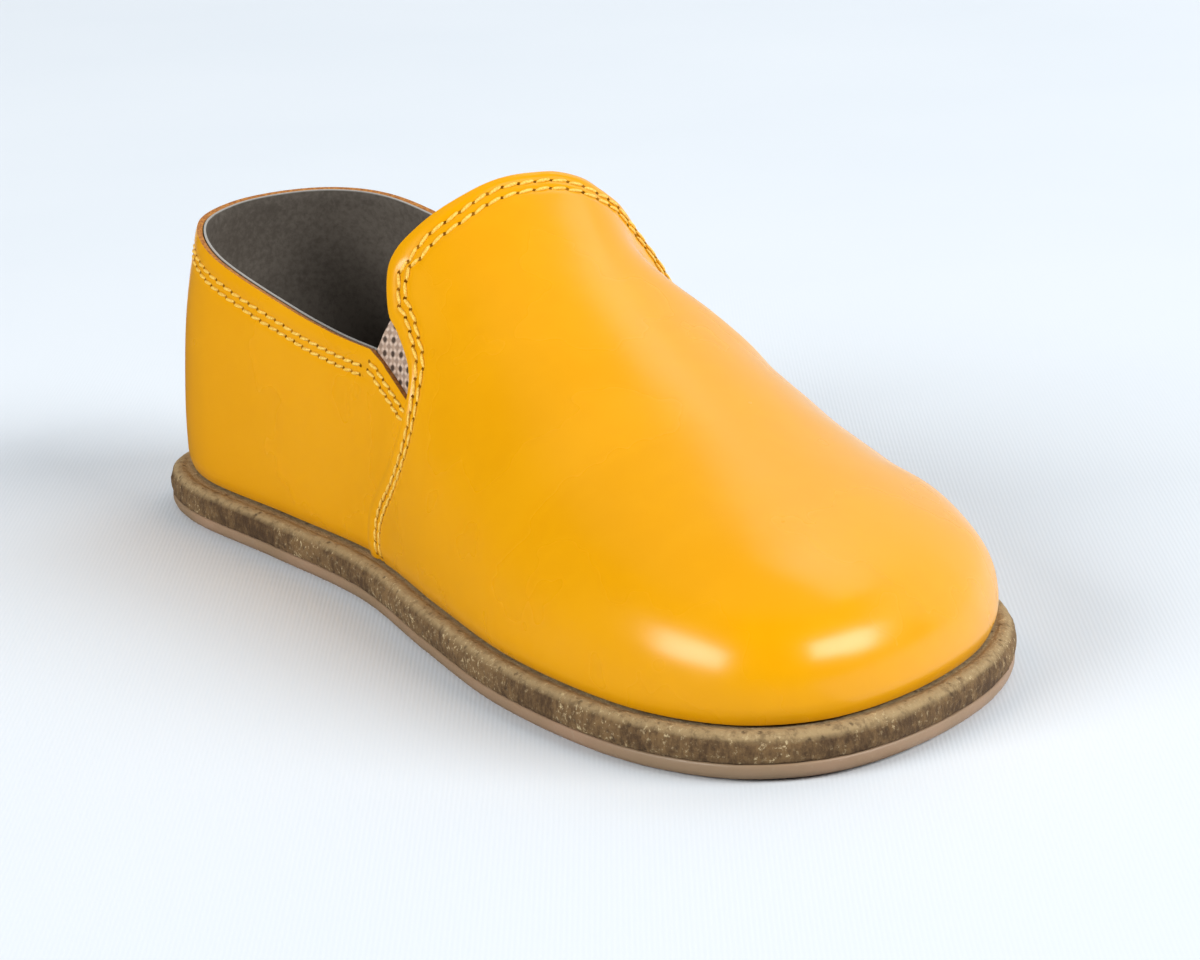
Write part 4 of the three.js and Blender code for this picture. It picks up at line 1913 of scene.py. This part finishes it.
    def heel_edge(self, short: float = 0.0, count: int = 420) -> Array:
        """The quarter's top edge round the heel.

        Args:
            short: distance that it ends short of the gores.
            count: points that it is taken from.

        Returns:
            x, y and z of each point in millimetres.
        """
        place, arch = self.quarter_grid(np.linspace(0.0, 1.0, count), np.ones(count))
        points = self.last.below(place, arch, self.quarter_depth)
        return points[points[:, 0] < self.pattern.collar_line()[-1, 0] - short]

    def build_quarter(self, leather: Paint, raw: Paint) -> None:
        """Rear panel of the upper, which runs round the heel and under the vamp.

        Args:
            leather: finish of its faces.
            raw: finish of its cut edges.
        """
        vamp_line = self.vamp_edge()
        collar = self.heel_edge()
        rows = tuple(np.full(len(collar), row) for row in self.pair(self.collar_row))

        def shape(u: Array, v: Array) -> Array:
            """Outer face of the quarter.

            Args:
                u: first coordinate of its grid.
                v: second coordinate of its grid.

            Returns:
                Points in metres.
            """
            place, arch = self.quarter_grid(u, v)
            points = self.last.surface(place, arch)
            under = self.vamp_thickness + self.under_gap + self.hollows(points, vamp_line)
            depth = mix(self.quarter_depth, under, self.under_vamp(points, vamp_line))
            depth = depth + self.tucked(points)
            face = points - self.last.normal(place, arch) * depth[:, None]
            depth += self.seam_relief(face, collar, rows) * self.quarter_relief
            depth -= self.quarter_swell.at(points, points[:, 2] - self.last.base, 1.0 - v)
            return self.sunk(place, arch, depth, v < STEP)

        piece = Bench.sheet("quarter", *self.quarter_cells, shape)
        Bench.face_away(piece, self.last.to_frame(self.quarter_middle))
        self.quarter_bvh = BVHTree.FromObject(piece, bpy.context.evaluated_depsgraph_get())
        Bench.wall(piece, self.quarter_thickness, self.quarter_rounding, leather, raw)
        Bench.hand_over(piece, leather, Slot.UPPER, "upper", angle=60.0)

    def build_linings(self, lining: Paint) -> None:
        """Dark linings behind the vamp and the quarter.

        Args:
            lining: their finish.
        """
        line = self.vamp_edge()

        def vamp_shape(u: Array, v: Array) -> Array:
            """Face of the vamp's lining that lies on the leather.

            Args:
                u: first coordinate of its grid.
                v: second coordinate of its grid.

            Returns:
                Points in metres.
            """
            place, arch = self.vamp_grid(u, v, self.lining_setback)
            place = np.minimum(place, self.last.top_row - self.lining_toe)
            leather = self.vamp_thickness + self.lining_gap
            depth = mix(leather, self.lining_depth, smooth(*self.lining_ease, u))
            depth += self.hollows(self.last.surface(place, arch), line)
            return self.last.face(place, arch, depth)

        def quarter_shape(u: Array, v: Array) -> Array:
            """Face of the quarter's lining that lies on the leather.

            Args:
                u: first coordinate of its grid.
                v: second coordinate of its grid.

            Returns:
                Points in metres.
            """
            place, arch = self.quarter_grid(u, v, -self.lining_gap)
            points = self.last.surface(place, arch)
            depth = self.lining_depth - self.lining_top_rise * smooth(*self.lining_top, v)
            depth += self.under_vamp(points, line) * self.hollows(points, line)
            return self.last.face(place, arch, depth)

        for name, cells, shape, middle in (
            ("vamp_lining", self.vamp_lining_cells, vamp_shape, self.vamp_middle),
            ("quarter_lining", self.quarter_lining_cells, quarter_shape, self.quarter_middle),
        ):
            piece = Bench.sheet(name, *cells, shape)
            Bench.face_away(piece, self.last.to_frame(middle))
            count = len(piece.data.vertices)
            Bench.wall(piece, self.lining_thickness)
            rim = np.zeros(len(piece.data.vertices))
            if shape is quarter_shape:
                top = np.arange(count)[-(cells[0] + 1) :]
                rim[top] = rim[top + count] = 1.0
            Bench.mark(piece, "rim", rim)
            Bench.hand_over(piece, lining, Slot.INSOLE, angle=50.0)

    def build_gore(self, side: Side, elastic: Paint) -> None:
        """V-shaped elastic panel in the notch on one side.

        Args:
            side: side of the foot.
            elastic: its finish.
        """
        bottom = self.pattern.corner(self.pattern.gore_bottom_row)
        top = self.pattern.corner(self.pattern.gore_top_row)
        front = self.pattern.collar_line()[-1]
        line = self.pattern.vamp_line()
        edge = self.vamp_edge()
        quarter_gap, vamp_gap = self.gore_gaps

        def shape(u: Array, v: Array) -> Array:
            """Face of the elastic between the quarter's front edge and the vamp's edge.

            Args:
                u: first coordinate of its grid.
                v: second coordinate of its grid.

            Returns:
                Points in metres.
            """
            up, across = mix(*self.gore_up, v), mix(*self.gore_across, u)
            rear = mix(bottom, front, up[:, None])
            height = mix(bottom[1], top[1], up)
            ahead = np.column_stack([np.interp(height, line[:, 1], line[:, 0]), height])
            flat = mix(rear, ahead, across[:, None])
            spread = np.maximum(self.gore_foot - up, 0.0) * self.gore_spread
            flat[:, 0] += (across - 0.5) * spread
            place, arch = self.last.locate(flat[:, 0], flat[:, 1], side)
            behind = self.quarter_depth + self.quarter_thickness + quarter_gap
            under = self.vamp_thickness + vamp_gap
            depth = mix(behind, under, smooth(*self.gore_ease, across))
            hollows = self.hollows(self.last.surface(place, arch), edge)
            depth += hollows * smooth(*self.gore_follow, across)
            return self.last.face(place, arch, depth)

        name = side.name.lower()
        piece = Bench.sheet(f"gore_panel_{name}", *self.gore_cells, shape)
        Bench.face_away(piece, self.last.to_frame(self.gore_middle))
        self.lay_map(piece)
        Bench.wall(piece, self.gore_thickness)
        Bench.hand_over(piece, elastic, Slot.ELASTIC, f"gore_{name}", angle=50.0)

    def lay_map(self, piece: Piece) -> None:
        """Lays a flat map from the side over a gore.

        Args:
            piece: the gore.
        """
        turn = math.radians(self.gore_turn)
        x, _, z = (Bench.places(piece) / MM / GORE_MAP).T
        across = x * math.cos(turn) + z * math.sin(turn)
        along = z * math.cos(turn) - x * math.sin(turn)
        loops = np.empty(len(piece.data.loops), int)
        piece.data.loops.foreach_get("vertex_index", loops)
        flat = np.column_stack([across, along])[loops]
        piece.data.uv_layers.active.data.foreach_set("uv", flat.astype(np.float32).ravel())

    def row_along(
        self, line: Array, tree: BVHTree, distance: Array | float, inward: Place
    ) -> tuple[Array, Array]:
        """Line of a stitch row on a panel.

        Args:
            line: the panel's edge in millimetres.
            tree: the panel's outer face.
            distance: distance of the row from the edge.
            inward: place that the row lies towards.

        Returns:
            Points in metres and the panel's normals there.
        """

        def settle(points: Array) -> list[Array]:
            """Nearest places of the panel and its normals there."""
            found = [tree.find_nearest(Vector(point))[:2] for point in points]
            return [np.array([tuple(hit[part]) for hit in found]) for part in range(2)]

        edge = self.last.to_frame(line)
        across = unit(np.cross(settle(edge)[1], unit(np.gradient(line, axis=0))))
        if np.sum(across * (self.last.to_frame(inward) - edge)) < 0:
            across = -across
        wanted = edge + across * (np.broadcast_to(distance, len(edge)) * MM)[:, None]
        window = self.row_window
        padded = np.pad(wanted, ((window, window), (0, 0)), mode="edge")
        shifted = [padded[step : step + len(wanted)] for step in range(2 * window + 1)]
        points, normals = settle(np.mean(shifted, axis=0))
        return points, normals

    def pair(self, first: float) -> Span:
        """Distances of a double row on the quarter."""
        return first, first + self.quarter_gap

    def stitch_rows(self) -> list[tuple[Array, Array]]:
        """All stitch rows of the upper.

        Returns:
            Points in metres and normals of each row.
        """
        vamp = self.vamp_edge()
        vamp = vamp[vamp[:, 2] > self.last.base + self.row_start]
        rows = [
            self.row_along(vamp, self.vamp_bvh, distance, self.vamp_inward)
            for distance in self.row_distances(vamp[:, 2])
        ]
        edges = [(self.heel_edge(self.collar_end), self.collar_row)]
        edges += [(self.gore_edge(side), self.gore_row) for side in Side]
        for edge, first in edges:
            for distance in self.pair(first):
                rows.append(self.row_along(edge, self.quarter_bvh, distance, self.quarter_inward))
        return rows


@dataclass
class Stitching:
    """Threads along the rows of the upper, with dark discs painted as the shade of their needle
    holes.
    """

    pitch: float = 2.6
    seam_pitch: float = 2.05
    pitch_heights: Span = (28.0, 36.0)
    thread_width: float = 0.27
    thread_height: float = 0.25
    thread_arch: float = 0.17
    thread_sink: float = 0.06
    thread_slant: float = 0.2
    thread_gap: float = 0.05
    thread_fullness: float = 0.8
    hole_radii: Span = (0.1, 0.33)
    hole_depth: float = 0.3
    hole_sink: float = 0.115
    hole_aside: Place = (0.31, 0.87, 0.38)

    def build(self, rows: list[tuple[Array, Array]], thread: Paint, hole: Paint) -> None:
        """Stitches of all rows, and dark discs painted as the shade of their needle holes.

        Args:
            rows: points in metres and normals of each row.
            thread: finish of the stitches.
            hole: finish of the holes.
        """
        starts, ends, ups = [], [], []
        for points, normals in rows:
            height = points[1:, 2] / MM
            pitch = mix(self.seam_pitch, self.pitch, smooth(*self.pitch_heights, height))
            share = np.linalg.norm(np.diff(points, axis=0), axis=1) / (pitch * MM)
            steps = np.concatenate([[0.0], np.cumsum(share)])
            marks = np.linspace(0.0, steps[-1], max(2, round(steps[-1])) + 1)
            holes, upward = (
                np.column_stack([np.interp(marks, steps, column) for column in values.T])
                for values in (points, normals)
            )
            starts.append(holes[:-1])
            ends.append(holes[1:])
            ups.append(upward[:-1] + upward[1:])
        start, end, up = np.vstack(starts), np.vstack(ends), unit(np.vstack(ups))
        self.lay_thread(start, end, up, thread)
        self.punch(np.vstack([start, end]), np.vstack([up, up]), hole)

    def lay_thread(self, start: Array, end: Array, up: Array, thread: Paint) -> None:
        """Copies one modelled stitch between pairs of holes.

        Args:
            start: first hole of each stitch in metres.
            end: second hole of each stitch in metres.
            up: normal of the panel at each stitch.
            thread: finish of the stitches.
        """
        Bench.clear_selection()
        bpy.ops.mesh.primitive_uv_sphere_add(segments=8, ring_count=8, radius=1.0)
        stitch = bpy.context.object
        with Bench.editing(stitch):
            bpy.ops.transform.rotate(
                value=math.pi / 2, orient_axis="Y", center_override=(0.0, 0.0, 0.0)
            )
        x, y, z = Bench.places(stitch).T
        full = np.sign(x) * np.abs(x) ** self.thread_fullness
        height = self.thread_arch * (1.0 - x**4) + self.thread_height * z - self.thread_sink
        aside = self.thread_width * y + self.thread_slant * x
        run = end - start
        half = 0.5 * np.linalg.norm(run, axis=1) - self.thread_gap * MM
        along = unit(run)
        placed = (
            0.5 * (start + end)[:, None]
            + along[:, None] * (half[:, None] * full)[:, :, None]
            + np.cross(up, along)[:, None] * (aside * MM)[:, None]
            + up[:, None] * (height * MM)[:, None]
        )
        piece = Bench.copies("stitches", stitch, placed)
        Bench.hand_over(piece, thread, Slot.UPPER, angle=80.0)

    def punch(self, spots: Array, up: Array, hole: Paint) -> None:
        """Copies one dark disc, the painted shade of a needle hole, to every stitch end.

        Args:
            spots: places of the holes in metres.
            up: normal of the panel at each hole.
            hole: finish of the holes.
        """
        Bench.clear_selection()
        bottom, top = self.hole_radii
        bpy.ops.mesh.primitive_cone_add(
            vertices=8,
            radius1=bottom,
            radius2=top,
            depth=self.hole_depth,
            end_fill_type="NGON",
        )
        dent = bpy.context.object
        shape = Bench.places(dent) - [0.0, 0.0, self.hole_sink]
        aside = unit(np.cross(up, self.hole_aside))
        axes = np.stack([aside, np.cross(up, aside), up], axis=1)
        placed = spots[:, None] + np.einsum("vk,ckx->cvx", shape * MM, axes)
        # painted shade: the discs sit just over the leather in place of the holes, which are not
        # cut
        piece = Bench.copies("needle_hole_shade_discs", dent, placed)
        Bench.hand_over(piece, hole, Slot.UPPER)


@dataclass(frozen=True)
class Softbox:
    """A soft lamp that faces the shoe."""

    name: str
    azimuth: float
    elevation: float
    distance: float
    size: Span
    power: float
    colour: Colour
    mirrored: bool = True
    roll: float = 0.0

    def hang(self, aim: Vector) -> None:
        """Adds the lamp.

        Args:
            aim: place in metres that it looks at.
        """
        turn, rise = math.radians(self.azimuth), math.radians(self.elevation)
        level = math.cos(rise)
        back = Vector((math.sin(turn) * level, -math.cos(turn) * level, math.sin(rise)))
        data = bpy.data.lights.new(self.name, "AREA")
        data.shape = "RECTANGLE"
        data.size, data.size_y = self.size
        data.energy = self.power
        data.color = self.colour
        lamp = bpy.data.objects.new(self.name, data)
        bpy.context.scene.collection.objects.link(lamp)
        lamp.location = aim + back * self.distance
        lamp.rotation_mode = "QUATERNION"
        roll = Quaternion((0.0, 0.0, 1.0), math.radians(self.roll))
        lamp.rotation_quaternion = back.to_track_quat("Z", "Y") @ roll
        lamp.visible_camera = False
        lamp.visible_glossy = self.mirrored


@dataclass
class Studio:
    """Floor, lamps and camera."""

    camera_place: Place = (0.4334, -0.22118, 0.15394)
    camera_right: Place = (0.468641, 0.8825, -0.039629)
    camera_up: Place = (-0.224537, 0.162385, 0.96084)
    camera_back: Place = (0.854376, -0.441391, 0.274254)
    lens: float = 105.0
    sensor: float = 36.0
    clip: Span = (0.01, 20.0)
    aim: Place = (0.075, -0.015, 0.02)
    floor_half: float = 6.0
    floor_cuts: int = 9
    world_colour: Colour = (0.88, 0.94, 1.0)
    world_power: float = 0.04
    warm: Colour = (1.0, 0.985, 0.96)
    cool: Colour = (0.95, 0.975, 1.0)

    def lamps(self) -> tuple[Softbox, ...]:
        """Two softboxes for the toe's highlights, panels behind the shoe and a fill.

        Returns:
            The lamps.
        """
        warm, cool = self.warm, self.cool
        return (
            Softbox("left_softbox", 4.0, 27.0, 3.0, (1.64, 1.12), 82.0, warm),
            Softbox("right_softbox", 129.0, 31.0, 3.0, (2.56, 1.12), 110.0, warm, roll=-20.0),
            Softbox("back_panel", -150.0, 22.0, 2.1, (3.2, 1.75), 13.5, cool),
            Softbox("upper_panel", -152.0, 49.0, 2.1, (1.0, 0.5), 2.6, cool),
            Softbox("ceiling_fill", -117.0, 60.0, 2.3, (3.0, 3.0), 25.0, cool, mirrored=False),
        )

    def build_floor(self, cloth: Paint) -> None:
        """Wide flat cloth under the shoe, whose half on the outer side shows in the gloss.

        Args:
            cloth: its finish.
        """
        Bench.clear_selection()
        bpy.ops.mesh.primitive_plane_add(size=2 * self.floor_half, location=(0.0, 0.0, 0.0))
        floor = bpy.context.object
        floor.name = "floor_cloth"
        floor.data.materials.append(cloth)
        with Bench.editing(floor):
            bpy.ops.mesh.subdivide(number_cuts=self.floor_cuts)
            bpy.ops.mesh.select_all(action="DESELECT")
        for face in floor.data.polygons:
            face.select = face.center.y > 0.0
        bpy.ops.object.mode_set(mode="EDIT")
        bpy.ops.mesh.separate(type="SELECTED")
        bpy.ops.object.mode_set(mode="OBJECT")
        floor.visible_glossy = False

    def light(self) -> None:
        """Soft lamps and a pale surrounding."""
        world = bpy.data.worlds.new("studio")
        bpy.context.scene.world = world
        world.use_nodes = True
        background = world.node_tree.nodes["Background"]
        background.inputs["Color"].default_value = (*self.world_colour, 1.0)
        background.inputs["Strength"].default_value = self.world_power
        for lamp in self.lamps():
            lamp.hang(Vector(self.aim))
        bpy.context.scene.view_settings.view_transform = "Standard"

    def shoot(self) -> None:
        """Camera at the photograph's angle to the shoe, turned to frame it alone."""
        data = bpy.data.cameras.new("camera")
        data.lens = self.lens
        data.sensor_width = self.sensor
        data.clip_start, data.clip_end = self.clip
        camera = bpy.data.objects.new("camera", data)
        bpy.context.scene.collection.objects.link(camera)
        axes = Matrix((self.camera_right, self.camera_up, self.camera_back)).transposed()
        camera.matrix_world = Matrix.Translation(self.camera_place) @ axes.to_4x4()
        bpy.context.scene.camera = camera


def main() -> None:
    """Builds the shoe's looks in order and reports each piece."""
    logging.basicConfig(level=logging.INFO, format="%(name)s: %(message)s")
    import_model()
    last = Last()
    leather = Leather().make()
    lining = LiningLeather().make()
    rubber = GumRubber().make()
    sole = Sole(last)
    sole.build_outsole(rubber)
    sole.build_dots(rubber)
    sole.build_midsole(CutLeather().make())
    sole.build_footbed(lining)
    upper = Upper(last, Pattern(last))
    raw = RAW_EDGE.make()
    upper.build_vamp(leather, raw)
    upper.build_quarter(leather, raw)
    upper.build_linings(lining)
    elastic = WovenElastic().make()
    for side in Side:
        upper.build_gore(side, elastic)
    Stitching().build(upper.stitch_rows(), SEWING_THREAD.make(), NEEDLE_HOLE_SHADE.make())
    studio = Studio()
    studio.build_floor(FloorCloth().make())
    studio.light()
    studio.shoot()


if __name__ == "__main__":
    main()
